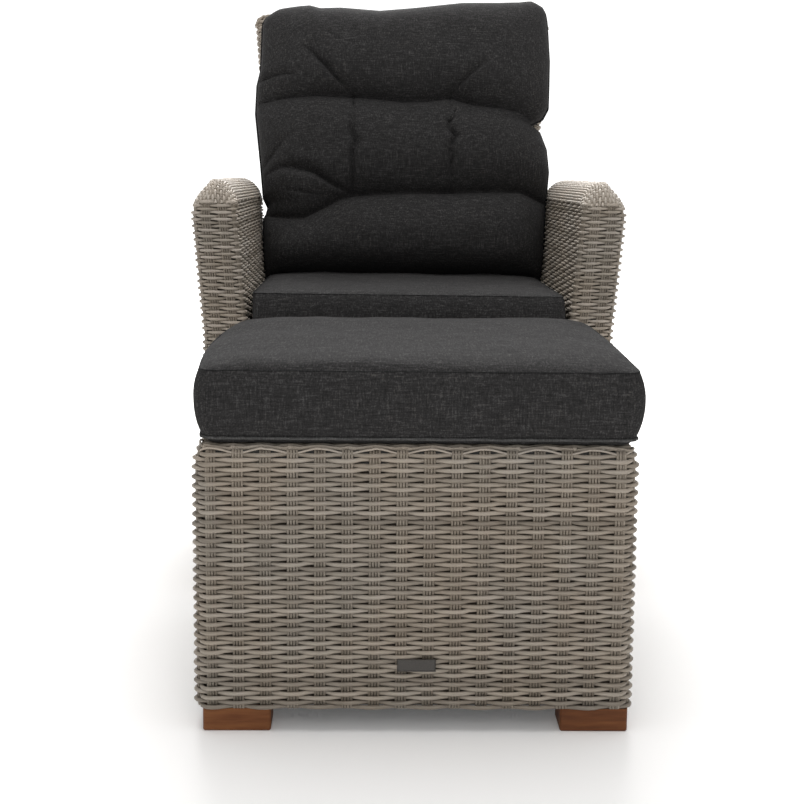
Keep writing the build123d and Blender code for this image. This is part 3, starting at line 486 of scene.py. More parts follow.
BADGE_WIDTH = 49 * MM
BADGE_HEIGHT = 16 * MM
BADGE_Z = 90 * MM
BADGE_THICK = 1.6 * MM
BADGE_STANDOFF = 1.5 * MM
BADGE_BEVEL = 0.5 * MM
BADGE_RIM = 1.1 * MM
DECK_GAP = 0.6 * MM
DECK_SWING = 0.6 * WEAVE_SWING


def badge():
    """A bare plate with a thin raised rim, on the front of the footstool."""
    corners = np.array([(1, 1), (-1, 1), (-1, -1), (1, -1)])
    half = np.array([BADGE_WIDTH, BADGE_HEIGHT]) / 2
    face = stool_low[1] - BADGE_STANDOFF
    rings = [(0, 1), (0, -0.5), (BADGE_BEVEL, -1), (BADGE_RIM, -1), (BADGE_RIM + BADGE_BEVEL * 0.6, -0.6)]
    points = np.concatenate([np.insert(corners * (half - inset), 1, face + depth * BADGE_THICK, 1)
                             for inset, depth in rings]) + (0, 0, BADGE_Z)
    index = np.arange(len(points)).reshape(-1, 4)
    quads = np.concatenate([loop_quads(index[:-1], index[1:]), [index[-1], index[0, ::-1]]])
    piece = mesh_object("badge_plate", points, quads)
    piece.data.polygons.foreach_set("use_smooth", np.zeros(len(quads), bool))
    add_piece(piece, "footstool", badge_look)


def flat_weave(body, node, inset=0):
    """A woven deck in a frame: strands along X over stakes along Y, seen only at its edges."""
    low, high = node_box(node)
    height = (low[2] + high[2]) / 2
    low, high = low + inset, high - inset
    strands = Strands()
    stakes = int((high[0] - low[0]) / STAKE_PITCH)
    rows = np.arange(low[1] + STRAND_RADIUS, high[1] - STRAND_RADIUS, 2 * STRAND_RADIUS + DECK_GAP)
    phase = np.arange(stakes * 2 + 1) / 2
    xs = low[0] + (high[0] - low[0]) * phase / stakes
    for row, y in enumerate(rows):
        z = height + DECK_SWING * swing(phase, row)
        path = np.column_stack([xs, np.full(len(xs), y), z])
        strands.add(path, (0, 0, 1), STRAND_RADIUS, sides=4)
    for number in range(stakes):
        x = low[0] + (high[0] - low[0]) * number / stakes
        path = np.array([[x, low[1], height], [x, high[1], height]])
        strands.add(path, (0, 0, 1), STAKE_RADIUS * 2, sides=4)
    add_weave(strands, node + "_weave", body, (node,))


def stool():
    stool_weave()
    stool_border()
    badge()
    flat_weave("footstool", "stool_deck", STAKE_RADIUS * 2)


# Arms
arm_low, arm_high = node_box("right_arm_skin")
ARM_FRONT = arm_low[1]
ARM_DEPTH = arm_high[1] - arm_low[1]
ARM_MIDDLE = arm_low[0] + 37 * MM
ARM_THICKNESS = 75 * MM
ARM_TOP = arm_high[2] + 2.5 * MM
ARM_REAR_TOP = 656 * MM
ARM_FRONT_RADIUS = 42 * MM
ARM_REAR_RADIUS = 60 * MM
ARM_EDGE_RADIUS = 15 * MM
ARM_CAP_RADIUS = 36 * MM
ARM_CAP_RECESS = 0.4
ARM_ROUND = 22 * MM
ARM_ROUND_HEIGHT = 54 * MM
ARM_ROUND_TOP = 2 * MM
ARM_LEAN_START = 430 * MM
ARM_LEAN = math.radians(5)
ARM_SPLIT_FRONT = 642 * MM
ARM_SPLIT_REAR = 624 * MM
ARM_FRONT_STAKES = np.array([-40, -13.5, 13.5, 40]) * MM
ARM_SIDE_GAPS = 17
ARM_TONE = 0.16
ARM_UPPER = 590 * MM
ARM_SHADE_WALL_HEIGHTS = (FOOT_HEIGHT + SHADE_WALL_START, ARM_LEAN_START, ARM_UPPER, 620 * MM,
                      ARM_SPLIT_FRONT + 4 * MM)
TOP_STRAND_PITCH = 4.9 * MM
TOP_STAKE_PITCH = 9.5 * MM
TOP_SWING = 2.1 * MM
TOP_TUCK = 5 * MM
TOP_OVERLAP = 3 * MM
TOP_STRAND_SHARE = 0.83
TOP_STAKE_SHARE = 1.2
TOP_STRAND_INSET = 1.3 * MM
TOP_STAKE_INSET = 1.0 * MM
TOP_SHADE_WALL_INSET = 4.5 * MM
# Tones of the cap's strands, lighter than the side weavers': painted light on the upward top; and of its
# stakes, darker than its strands: painted shade.
TOP_LIT_TONES = (0.9, 1.6)
TOP_STAKE_SHADE_TONES = (0, 0.6)

half_ring = ring_length(ARM_THICKNESS / 2, ARM_DEPTH / 2, ARM_EDGE_RADIUS) / 2
side_stakes = np.linspace(ARM_FRONT_STAKES[-1], half_ring + ARM_FRONT_STAKES[0], ARM_SIDE_GAPS + 1)
half_stakes = np.concatenate([ARM_FRONT_STAKES[1:3], side_stakes])
arm_stakes = np.concatenate([half_stakes, half_stakes + half_ring, [2 * half_ring + ARM_FRONT_STAKES[1]]])
ARM_STAKES = len(arm_stakes) - 1


def lean(z):
    return np.maximum(0, z - ARM_LEAN_START) * math.tan(ARM_LEAN)


def rounded(across, y, z):
    """How far the arm's outer side is drawn in towards its top, which gives it a wide round edge there."""
    top = ARM_TOP + (ARM_REAR_TOP - ARM_TOP) * y / ARM_DEPTH
    near = np.clip(1 - (top - ARM_ROUND_TOP - z) / ARM_ROUND_HEIGHT, 0, 1) ** 1.2
    outer = np.clip((across / (ARM_THICKNESS / 2) + 0.2) / 1.1, 0, 1)
    return ARM_ROUND * near * outer * outer * (3 - 2 * outer)


def arm_side_place(side):
    """A place on an arm's upright walls. side is 1 for the right arm and -1 for the left."""
    @evened
    def place(height, phase, outward):
        s = np.interp(np.mod(phase, ARM_STAKES), np.arange(ARM_STAKES + 1), arm_stakes)
        flat, normal = ring_point(s, ARM_THICKNESS / 2, ARM_DEPTH / 2, ARM_EDGE_RADIUS)
        flat = flat + normal * outward[:, None]
        share_back = flat[:, 1] / ARM_DEPTH + 0.5
        drop = 1 + (ARM_SPLIT_REAR - ARM_SPLIT_FRONT) / (ARM_SPLIT_FRONT - FOOT_HEIGHT) * share_back
        z = FOOT_HEIGHT + (height - FOOT_HEIGHT) * drop
        x = ARM_MIDDLE + flat[:, 0] + lean(z) - rounded(flat[:, 0], flat[:, 1] + ARM_DEPTH / 2, z)
        points = np.column_stack([side * x, flat[:, 1] + ARM_FRONT + ARM_DEPTH / 2, z])
        return points, upright(normal * (side, 1))
    return place


def arm_top_profile():
    """The arm's side outline from the split in front, over the top, to the split behind.

    Gives the length along it, and Y, Z and the heading at each length.
    """
    fall = math.atan2(ARM_TOP - ARM_REAR_TOP, ARM_DEPTH)
    front_turn = math.pi / 2 + fall
    rear_turn = math.pi / 2 - fall
    front_cut = ARM_FRONT_RADIUS * math.tan(front_turn / 2)
    rear_cut = ARM_REAR_RADIUS * math.tan(rear_turn / 2)
    slope_length = ARM_DEPTH / math.cos(fall) - front_cut - rear_cut
    rise = ARM_REAR_RADIUS
    spans = [rise, front_turn * ARM_FRONT_RADIUS, slope_length, rear_turn * ARM_REAR_RADIUS, rise]
    knots = np.concatenate([[0], np.cumsum(spans)])
    turns = math.pi / 2 - np.cumsum([0, 0, front_turn, 0, rear_turn, 0])
    step = 0.5 * MM
    s = np.arange(0, knots[-1], step)
    heading = np.interp(s, knots, turns)
    y = np.concatenate([[0], np.cumsum(np.cos(heading) * step)[:-1]])
    z = np.concatenate([[0], np.cumsum(np.sin(heading) * step)[:-1]]) + ARM_TOP - front_cut - rise
    split = np.where(y < ARM_DEPTH / 2, ARM_SPLIT_FRONT, ARM_SPLIT_REAR)
    kept = z > split - TOP_TUCK
    return s[kept] - s[kept][0], y[kept], z[kept], heading[kept]


arm_profile = arm_top_profile()


def arm_top_place(side):
    """A place on the cap over an arm's top: s runs lengthwise over it, w across it."""
    flat = ARM_THICKNESS / 2 - ARM_CAP_RADIUS

    @evened
    def place(s, w, outward):
        y, z, heading = (np.interp(s, arm_profile[0], part) for part in arm_profile[1:])
        normal_y, normal_z = -np.sin(heading), np.cos(heading)
        beyond = np.abs(w) - flat
        angle = np.clip(beyond / ARM_CAP_RADIUS, 0, math.pi / 2)
        below = np.maximum(0, beyond - ARM_CAP_RADIUS * math.pi / 2)
        way = np.sign(w)
        x = way * (np.minimum(np.abs(w), flat) + ARM_CAP_RADIUS * np.sin(angle))
        inset = ARM_CAP_RADIUS * (1 - np.cos(angle)) + below
        n = np.stack([way * np.sin(angle), np.cos(angle) * normal_y, np.cos(angle) * normal_z], -1)
        points = np.stack([x, y - ARM_CAP_RECESS * inset * normal_y, z - inset * normal_z], -1)
        points = points + n * outward[:, None]
        points[:, 0] = side * (points[:, 0] - rounded(*points.T) + ARM_MIDDLE + lean(points[:, 2]))
        points[:, 1] += ARM_FRONT
        n[:, 0] *= side
        return points, n
    return place


def arm_top(caps, place):
    """The cap's strands over the arm's length, the thin ones below that cross them, and the points and quads of
    a painted-shade sheet under them.
    """
    half = (ARM_THICKNESS / 2 - ARM_CAP_RADIUS + ARM_CAP_RADIUS * math.pi / 2
            + ARM_TOP - ARM_CAP_RADIUS - ARM_SPLIT_FRONT + TOP_OVERLAP)
    length = arm_profile[0][-1]
    stakes = int(length / TOP_STAKE_PITCH)
    count = int(2 * half / TOP_STRAND_PITCH)
    phase = np.arange(stakes * 4 + 1) / 4
    for row in range(count):
        w = -half + (row + 0.5) * 2 * half / count
        outward = TOP_SWING * swing(phase, row) - TOP_SWING - TOP_STRAND_INSET
        outward = outward + rng.normal(0, ROW_WANDER / 2, len(phase))
        path, normals = place(phase * length / stakes, w, outward)
        radius = strand_radius(phase, row) * TOP_STRAND_SHARE
        # Lighter tones than the side weavers: painted light on the upward cap.
        caps.add(path, normals, radius, sides=5, tone=rng.uniform(*TOP_LIT_TONES))
    across = np.linspace(-half, half, 25)
    for number in range(1, stakes):
        path, normals = place(number * length / stakes, across, -TOP_SWING - TOP_STAKE_INSET)
        # Darker tones than the cap's strands: painted shade where the stakes lie recessed.
        caps.add(path, normals, STAKE_RADIUS * TOP_STAKE_SHARE, sides=5, tone=rng.uniform(*TOP_STAKE_SHADE_TONES))
    # A painted-shade sheet under the cap's strands, in the same dark colour.
    s, w = np.meshgrid(np.linspace(0, length, 100), np.linspace(-half, half, 17), indexing="ij")
    points, _ = place(s.ravel(), w.ravel(), -TOP_SWING - TOP_SHADE_WALL_INSET)
    return points, grid_quads(np.arange(s.size).reshape(s.shape))


def arm(name, side):
    place = arm_side_place(side)
    strands = Strands()
    rows = row_heights(FOOT_HEIGHT, ARM_SPLIT_FRONT, ARM_ROW_PITCH)
    loop_weave(strands, rows, place, ARM_STAKES, 5, ARM_STRAND_SHARE, ARM_TONE)
    add_weave(strands, name + "_weave", "base", (name + "_skin",))
    caps = Strands()
    cap_shade_wall = arm_top(caps, arm_top_place(side))
    heights = [FOOT_HEIGHT + MM, ARM_LEAN_START, *np.linspace(ARM_UPPER, ARM_SPLIT_FRONT, 6)]
    for number in range(ARM_STAKES):
        stake_group(caps, place, number, heights, arm_stakes[number + 1] - arm_stakes[number])
    add_weave(caps, name + "_top_weave", "base")
    # Dark painted-shade sheets behind the side weave and under the cap.
    painted_shade_wall(name + "_painted_shade_wall", "base", place, ARM_SHADE_WALL_HEIGHTS, ARM_STAKES)
    add_piece(mesh_object(name + "_cap_painted_shade_wall", *cap_shade_wall), "base", painted_shade_wall_look)
    arm_tubes(name, side)


def arm_tubes(name, side):
    """The arm's tubes, drawn in at the top as the weave's round edge over them is."""
    mesh = frame["nodes"][name + "_frame"].data.copy()
    points = np.empty(3 * len(mesh.vertices), np.float32)
    mesh.vertices.foreach_get("co", points)
    points = points.reshape(-1, 3)
    across = side * points[:, 0] - ARM_MIDDLE - lean(points[:, 2])
    points[:, 0] -= side * rounded(across, points[:, 1] - ARM_FRONT, points[:, 2])
    mesh.vertices.foreach_set("co", points.ravel())
    mesh.update()
    add_piece(linked(name + "_tubes", mesh), "base", coated_look, (name + "_frame",))


# Seat box
def apron(node, way):
    """A woven wall between the arms. way is the outward side along Y."""
    low, high = node_box(node)
    face = low[1] if way < 0 else high[1]
    stakes = int((high[0] - low[0]) / STAKE_PITCH)
    strands = Strands()
    phase = np.arange(stakes * SAMPLES_PER_STAKE + 1) / SAMPLES_PER_STAKE
    xs = low[0] + (high[0] - low[0]) * phase / stakes
    for row, z in enumerate(row_heights(low[2], high[2])):
        out = WEAVE_SWING * swing(phase, row) - WEAVE_DEPTH + rng.normal(0, ROW_WANDER / 2, len(phase))
        lift = ROW_TILT * np.sin(math.pi * (phase + row)) + rng.normal(0, ROW_WANDER / 2, len(phase))
        path = np.column_stack([xs, face + way * out, z + lift])
        strands.add(path, (0, way, 0), strand_radius(phase, row))
    for number in range(stakes + 1):
        for shift in GROUP_SHIFTS:
            x = low[0] + (high[0] - low[0]) * number / stakes + shift
            x = min(max(x, low[0] + STAKE_RADIUS), high[0] - STAKE_RADIUS)
            path = np.array([[x, face - way * STAKE_DEPTH, low[2] + MM],
                             [x, face - way * STAKE_DEPTH, high[2] - MM]])
            strands.add(path, (0, way, 0), STAKE_RADIUS)
    add_weave(strands, node + "_weave", "base", (node,))


def seat_box():
    apron("front_apron", -1)
    apron("rear_apron", 1)
    flat_weave("base", "seat_deck")


# Back panel
hinge = next(j for j in frame["joints"] if j["name"] == "back_recline")
HINGE_Y, HINGE_Z = hinge["pos_m"][1:3]
RAKE = math.radians(16)
BACK_LENGTH = 592 * MM
BACK_START = 30 * MM
BACK_LOW_HALF = 245 * MM
BACK_TOP_HALF = 289 * MM
BACK_SKEW = -0.004
BACK_CORNER = 22 * MM
BACK_HALF_THICKNESS = 19.5 * MM
BACK_EDGE = 12 * MM
BACK_STAKES = 34
BACK_RIM_HALF = 14.5 * MM
BACK_RIM_STRANDS = 7
BACK_RIM_INSET = 2.2 * MM
BACK_RIM_CROWN = 3.5 * MM
BACK_RIM_SWING = 1.4 * MM
BACK_RIM_SHARE = 0.95


def from_back(x, y, height):
    """A point given in the back's own leaned frame: y through its thickness, height along it."""
    return np.stack([x, HINGE_Y + y * math.cos(RAKE) + height * math.sin(RAKE),
                     HINGE_Z - y * math.sin(RAKE) + height * math.cos(RAKE)], -1)


def turn_back(normals):
    """Normals given in the back's own leaned frame."""
    return from_back(*normals.T) - (0, HINGE_Y, HINGE_Z)


def back_half_width(height):
    slope = (BACK_TOP_HALF - BACK_LOW_HALF) / (BACK_LENGTH - BACK_START)
    straight = BACK_LOW_HALF + slope * (height - BACK_START)
    rise = np.clip(height - (BACK_LENGTH - BACK_CORNER), 0, BACK_CORNER)
    return straight - BACK_CORNER + np.sqrt(BACK_CORNER ** 2 - rise ** 2)


@evened
def back_place(height, phase, outward):
    """A place on the back panel's woven wall."""
    mean = height.mean()
    rise = min(max(mean - (BACK_LENGTH - BACK_EDGE), 0), BACK_EDGE * 0.98)
    thin = BACK_HALF_THICKNESS - BACK_EDGE + math.sqrt(BACK_EDGE ** 2 - rise ** 2)
    half_x = back_half_width(mean)
    radius = min(BACK_EDGE, thin)
    length = ring_length(half_x, thin, radius)
    s = (phase + 0.5) * length / BACK_STAKES
    flat, normal = ring_point(s, half_x, thin, radius)
    flat = flat + normal * outward[:, None]
    points = from_back(flat[:, 0] + BACK_SKEW * height, flat[:, 1], height)
    return points, turn_back(upright(normal))


def back_weave():
    strands = Strands()
    loop_weave(strands, row_heights(BACK_START, BACK_LENGTH - MM), back_place, BACK_STAKES)
    add_weave(strands, "back_weave", "back", ("back_skin",))
    stakes = Strands()
    heights = list(np.linspace(BACK_START + MM, BACK_LENGTH - BACK_CORNER, 8))
    heights += list(np.linspace(BACK_LENGTH - BACK_CORNER * 0.8, BACK_LENGTH - 3 * MM, 8))
    pitch = ring_length(back_half_width(BACK_LENGTH / 2), BACK_HALF_THICKNESS, BACK_EDGE) / BACK_STAKES
    for number in range(BACK_STAKES):
        for shift in GROUP_SHIFTS:
            placed = [back_place(height, number + shift / pitch, -STAKE_DEPTH) for height in heights]
            path, normals = (np.concatenate(part) for part in zip(*placed))
            stakes.add(path, normals, STAKE_RADIUS)
    add_weave(stakes, "back_stakes", "back")
    add_weave(back_rim(), "back_rim", "back")
    # A dark painted-shade wall behind the back's weave.
    heights = (BACK_START + SHADE_WALL_START, BACK_LENGTH - BACK_CORNER, BACK_LENGTH - BACK_CORNER / 2,
               BACK_LENGTH - 6 * MM)
    painted_shade_wall("back_painted_shade_wall", "back", back_place, heights, BACK_STAKES)


def back_rim():
    """Strands laid side by side over the back's top edge and round its two corners."""
    strands = Strands()
    turn = np.linspace(0, math.pi / 2, 6)
    half, base = BACK_TOP_HALF - BACK_CORNER, BACK_LENGTH - BACK_CORNER
    level = np.linspace(-half, half, 141)[1:-1]
    out_x = np.concatenate([-np.sin(turn[::-1]), np.zeros(len(level)), np.sin(turn)])
    out_up = np.concatenate([np.cos(turn[::-1]), np.ones(len(level)), np.cos(turn)])
    xs = np.concatenate([np.full(6, -half), level, np.full(6, half)])
    for row, y in enumerate(np.linspace(-BACK_RIM_HALF, BACK_RIM_HALF, BACK_RIM_STRANDS)):
        out = BACK_CORNER - BACK_RIM_INSET - BACK_RIM_CROWN * (y / BACK_RIM_HALF) ** 2
        out = out + BACK_RIM_SWING * swing(np.arange(len(xs)) / 2, row)
        height = base + out_up * out
        path = from_back(xs + out_x * out + BACK_SKEW * height, np.full(len(xs), y), height)
        normals = turn_back(np.column_stack([out_x, np.zeros(len(xs)), out_up]))
        strands.add(path, normals, STRAND_RADIUS * BACK_RIM_SHARE, sides=5)
    return strands


# Cushions
def grid_box(name, counts, place):
    """A closed quad box. place(a, b, c) maps shares from -1 to 1 along each axis to points."""
    index = {}
    quads = []
    for fixed, u, v in ((2, 1, 0), (1, 0, 2), (0, 2, 1)):
        first, second = sorted((u, v))
        for at, turn in itertools.product(np.ndindex(counts[first], counts[second]), (0, 1)):
            quad = []
            for step in ((0, 0), (1, 0), (1, 1), (0, 1)):
                key = [0, 0, 0]
                key[fixed] = turn * counts[fixed]
                key[first], key[second] = at
                key[u] += step[turn]
                key[v] += step[1 - turn]
                quad.append(index.setdefault(tuple(key), len(index)))
            quads.append(quad)
    shares = 2 * np.array(list(index)) / counts - 1
    points = place(shares[:, 0], shares[:, 1], shares[:, 2])
    return mesh_object(name, points, np.array(quads)), shares


CUSHION_UNDER = 9 * MM
CUSHION_ROUND = 10 * MM
CUSHION_GRID = 7 * MM
PIPE_WANDER = 0.15 * MM
FACE = 0.999


def box_cushion(name, body, node, crown, side_bulge, seed, turn=0.0, shift=0.0, front_lift=0.0, rear_drop=0.0,
                side_share=1.0, corner=18 * MM, widen=0.0, left_bow=0.0, narrow_below=0.0, narrow_behind=0.0,
                raise_top=0.0, tilt=0.0):
    """A boxed cushion: a crowned top panel, and a side band that swells between a seam and a welt."""
    low, high = node_box(node)
    edge_low, edge_high = low[2] + CUSHION_UNDER, high[2] - crown
    middle = (low + high) / 2
    half = (high - low) / 2 - side_bulge * np.array([side_share, 1, 1]) + np.array([widen, 0, 0])

    def place(a, b, c):
        end_x, end_y = np.abs(a) > FACE, np.abs(b) > FACE
        plan = np.stack([a, b], -1) * half[:2]
        core = np.clip(plan, corner - half[:2], half[:2] - corner)
        beyond = plan - core
        plan = core + beyond * (np.abs(beyond).max(1) / np.maximum(np.hypot(*beyond.T), 1e-9))[:, None]
        normal = np.stack([np.sign(a) * end_x, np.sign(b) * end_y], -1)
        swell = side_bulge * (1 - np.abs(c) ** 2.3) ** 0.9 / np.maximum(np.hypot(*normal.T), 1)
        plan = plan + normal * swell[:, None] * (side_share, 1)
        z = edge_low + (edge_high - edge_low) * (c + 1) / 2
        rise = ((1 - a ** 8) * (1 - b ** 8)) ** 0.6
        crowned = (crown + raise_top) * rise * (1 - 0.15 * (a ** 2 + b ** 2) / 2)
        z = np.where(c > FACE, edge_high + crowned, z)
        inward = np.minimum(half[0] * (1 - np.abs(a)), half[1] * (1 - np.abs(b))) / CUSHION_ROUND
        z = np.where(c < -FACE, edge_low - CUSHION_UNDER * np.clip(inward, 0, 1), z)
        points = np.column_stack([plan, z])
        soft = ripples(points, 1.0 * MM, 160 * MM, seed) + ripples(points, 0.3 * MM, 45 * MM, seed + 1)
        points[:, 2] += soft * np.where(c > FACE, 1, 0.3) * np.minimum(1, 3 * rise + 0.3 * (end_x | end_y))
        points[:, :2] += normal * (soft * (1 - c ** 2))[:, None]
        return settled(points)

    def settled(points):
        """Turned and shifted a little from square, as it was laid down."""
        c, s = math.cos(turn), math.sin(turn)
        back_share = np.clip(0.5 + points[:, 1] / (2 * half[1]), 0, 1)
        across_share = points[:, 0] / half[0]
        above = np.clip((points[:, 2] - edge_low) / (edge_high - edge_low), 0, 1)
        along_side = 4 * back_share * (1 - back_share)
        px = points[:, 0] - across_share * (narrow_below * (1 - above) + narrow_behind * back_share ** 3)
        px = px - left_bow * along_side * np.clip(-across_share, 0, 1) ** 2
        x, y = px * c - points[:, 1] * s, px * s + points[:, 1] * c
        lift = front_lift * (1 - back_share) - rear_drop * back_share - tilt * across_share
        return np.column_stack([middle[0] + shift + x, middle[1] + y, points[:, 2] + above * lift])

    counts = (int(2 * half[0] / CUSHION_GRID), int(2 * half[1] / CUSHION_GRID), 12)
    piece, shares = grid_box(name, counts, place)
    ends = np.zeros(2 * len(piece.data.edges), np.int32)
    piece.data.edges.foreach_get("vertices", ends)
    on_seam = (np.abs(shares[:, 2]) > FACE) & (np.abs(shares[:, :2]).max(1) > FACE)
    crease = piece.data.attributes.new("crease_edge", "FLOAT", "EDGE")
    crease.data.foreach_set("value", on_seam[ends.reshape(-1, 2)].all(1).astype(np.float32))
    smooth = piece.modifiers.new("smooth", "SUBSURF")
    smooth.levels = smooth.render_levels = 1
    add_piece(piece, body, cloth_look, (node,))
    s = np.linspace(0, ring_length(half[0], half[1], corner), 260, endpoint=False)
    flat, normal = ring_point(s, half[0], half[1], corner)
    # The seam cord wears the darker cloth, painted shade of its groove, and the welt the lighter cloth, painted
    # light from above.
    for end, height, out, radius, look in (("seam", edge_high, -0.4 * MM, 1.0 * MM, painted_shade_piping_look),
                                           ("welt", edge_low, 1.8 * MM, 1.9 * MM, painted_light_welt_look)):
        pipes = Strands()
        path = np.column_stack([flat + normal * out, height + rng.normal(0, PIPE_WANDER, len(s))])
        pipes.add(settled(path), upright(normal), radius, sides=8, closed=True)
        add_piece(pipes.piece(name + "_" + end), body, look)


BACK_CUSHION_REAR = -BACK_HALF_THICKNESS - 0.3 * MM
BACK_CUSHION_THICK = 168 * MM
BACK_SEAM_DEPTH = 58 * MM
BACK_CUSHION_TOP = 574 * MM
BACK_CUSHION_SAG = 15 * MM
PIPING_RADIUS = 2.6 * MM
PIPING_OUT = 1.0 * MM

# Creases of the back cushion's front: its points as (across, height, depth) in mm, and a shoulder's width.
# They meet at the four tufts.
CREASES = (
    (((-276, 424, 32), (-250, 427, 28), (-222, 428, 20), (-188, 418, 0)), 22),
    (((-274, 382, 30), (-236, 386, 40), (-164, 389, 46), (-96, 387, 56), (-44, 383, 52), (-4, 378, 50),
      (41, 380, 52), (88, 387, 56), (108, 380, 54), (131, 374, 52), (176, 371, 50), (214, 368, 52),
      (268, 352, 60)), 84),
    (((-96, 388, 34), (-112, 402, 34), (-142, 433, 28), (-160, 452, 20), (-178, 468, 10), (-194, 482, 0)), 24),
    (((88, 392, 30), (107, 410, 22), (134, 434, 14), (160, 454, 0)), 24),
    (((-274, 172, 44), (-214, 158, 46), (-186, 157, 46), (-154, 172, 48), (-122, 190, 50), (-96, 198, 56),
      (-44, 202, 52), (-4, 203, 50), (41, 204, 52), (88, 205, 56), (146, 207, 50), (216, 211, 48),
      (238, 205, 48), (268, 196, 50)), 84),
    (((-262, 238, 5), (-226, 250, 14), (-204, 247, 22), (-167, 237, 28), (-145, 222, 30), (-127, 211, 32),
      (-97, 200, 42)), 24),
    (((-224, 206, 7), (-188, 199, 12), (-154, 193, 15), (-106, 199, 22)), 16),
    (((-96, 392, 40), (-95, 370, 34), (-96, 348, 17), (-98, 328, 14), (-98, 316, 20), (-96, 302, 20),
      (-91, 290, 17), (-95, 272, 22), (-96, 244, 32), (-96, 200, 44)), 14),
    (((86, 394, 40), (86, 372, 32), (93, 354, 20), (92, 340, 16), (82, 330, 18), (82, 318, 18), (94, 303, 18),
      (88, 288, 18), (85, 272, 20), (87, 246, 30), (88, 206, 44)), 14),
    (((-96, 200, 20), (-90, 184, 12), (-90, 168, 0)), 15),
    (((88, 206, 18), (98, 188, 9), (112, 168, 0)), 15),
    (((-268, 252, 16), (-246, 274, 12), (-228, 294, 8), (-210, 312, 0)), 20),
    (((250, 356, 22), (222, 364, 14), (190, 372, 0)), 15),
    (((270, 192, 18), (236, 206, 12), (200, 210, 0)), 16),
)
# Half widths of the back cushion by height, left and right, in mm
LEFT_EDGE = ((0, 262), (68, 263), (166, 263), (176, 258), (188, 255), (197, 259), (207, 264), (272, 270),
             (370, 281), (425, 279), (452, 273), (520, 271), (560, 271), (590, 266))
RIGHT_EDGE = ((0, 262), (68, 264), (170, 267), (218, 271), (262, 275), (305, 271), (337, 259), (353, 239),
              (364, 264), (385, 275), (475, 278), (530, 275), (560, 273), (590, 266))
# How far its top edge stands above its mean height, from left to right, in mm
TOP_EDGE = ((-280, -10), (-256, -5), (-238, 0), (-198, 4), (-180, 5), (-160, -1), (-121, 0), (-47, -6), (16, 0),
            (110, 12), (180, 14), (220, 17), (244, 22), (280, 18))


def along(pairs, value):
    places, values = np.array(pairs, float).T
    return np.interp(value, places * MM, values * MM)


def crease_depth(x, height):
    """How far the tufts and creases draw the front in at each point."""
    total = np.zeros_like(x)
    for line, shoulder in CREASES:
        line = np.array(line, float) * MM
        wide = shoulder * MM
        drawn = np.zeros_like(x)
        for (ax, ah, ad), (bx, bh, bd) in zip(line[:-1], line[1:]):
            run = (bx - ax) ** 2 + (bh - ah) ** 2
            t = np.clip(((x - ax) * (bx - ax) + (height - ah) * (bh - ah)) / run, 0, 1)
            away = np.hypot(x - ax - t * (bx - ax), height - ah - t * (bh - ah))
            near = np.clip(1 - away / wide, 0, 1)
            depth = ad + t * (bd - ad)
            drawn = np.maximum(drawn, depth * (1 - np.sqrt(1 - near ** 2 * 0.999)))
        total = total + drawn ** 3
    return np.cbrt(total)


def ripples(points, size, wave, seed):
    """A gentle unevenness: a few seeded plane waves of about the given wavelength."""
    draw = np.random.default_rng(seed)
    total = np.zeros(len(points))
    for _ in range(12):
        way = draw.normal(size=3)
        way *= 2 * math.pi / (wave * draw.uniform(0.7, 1.6)) / np.linalg.norm(way)
        total += np.sin(points @ way + draw.uniform(0, 2 * math.pi))
    return total * size / 3


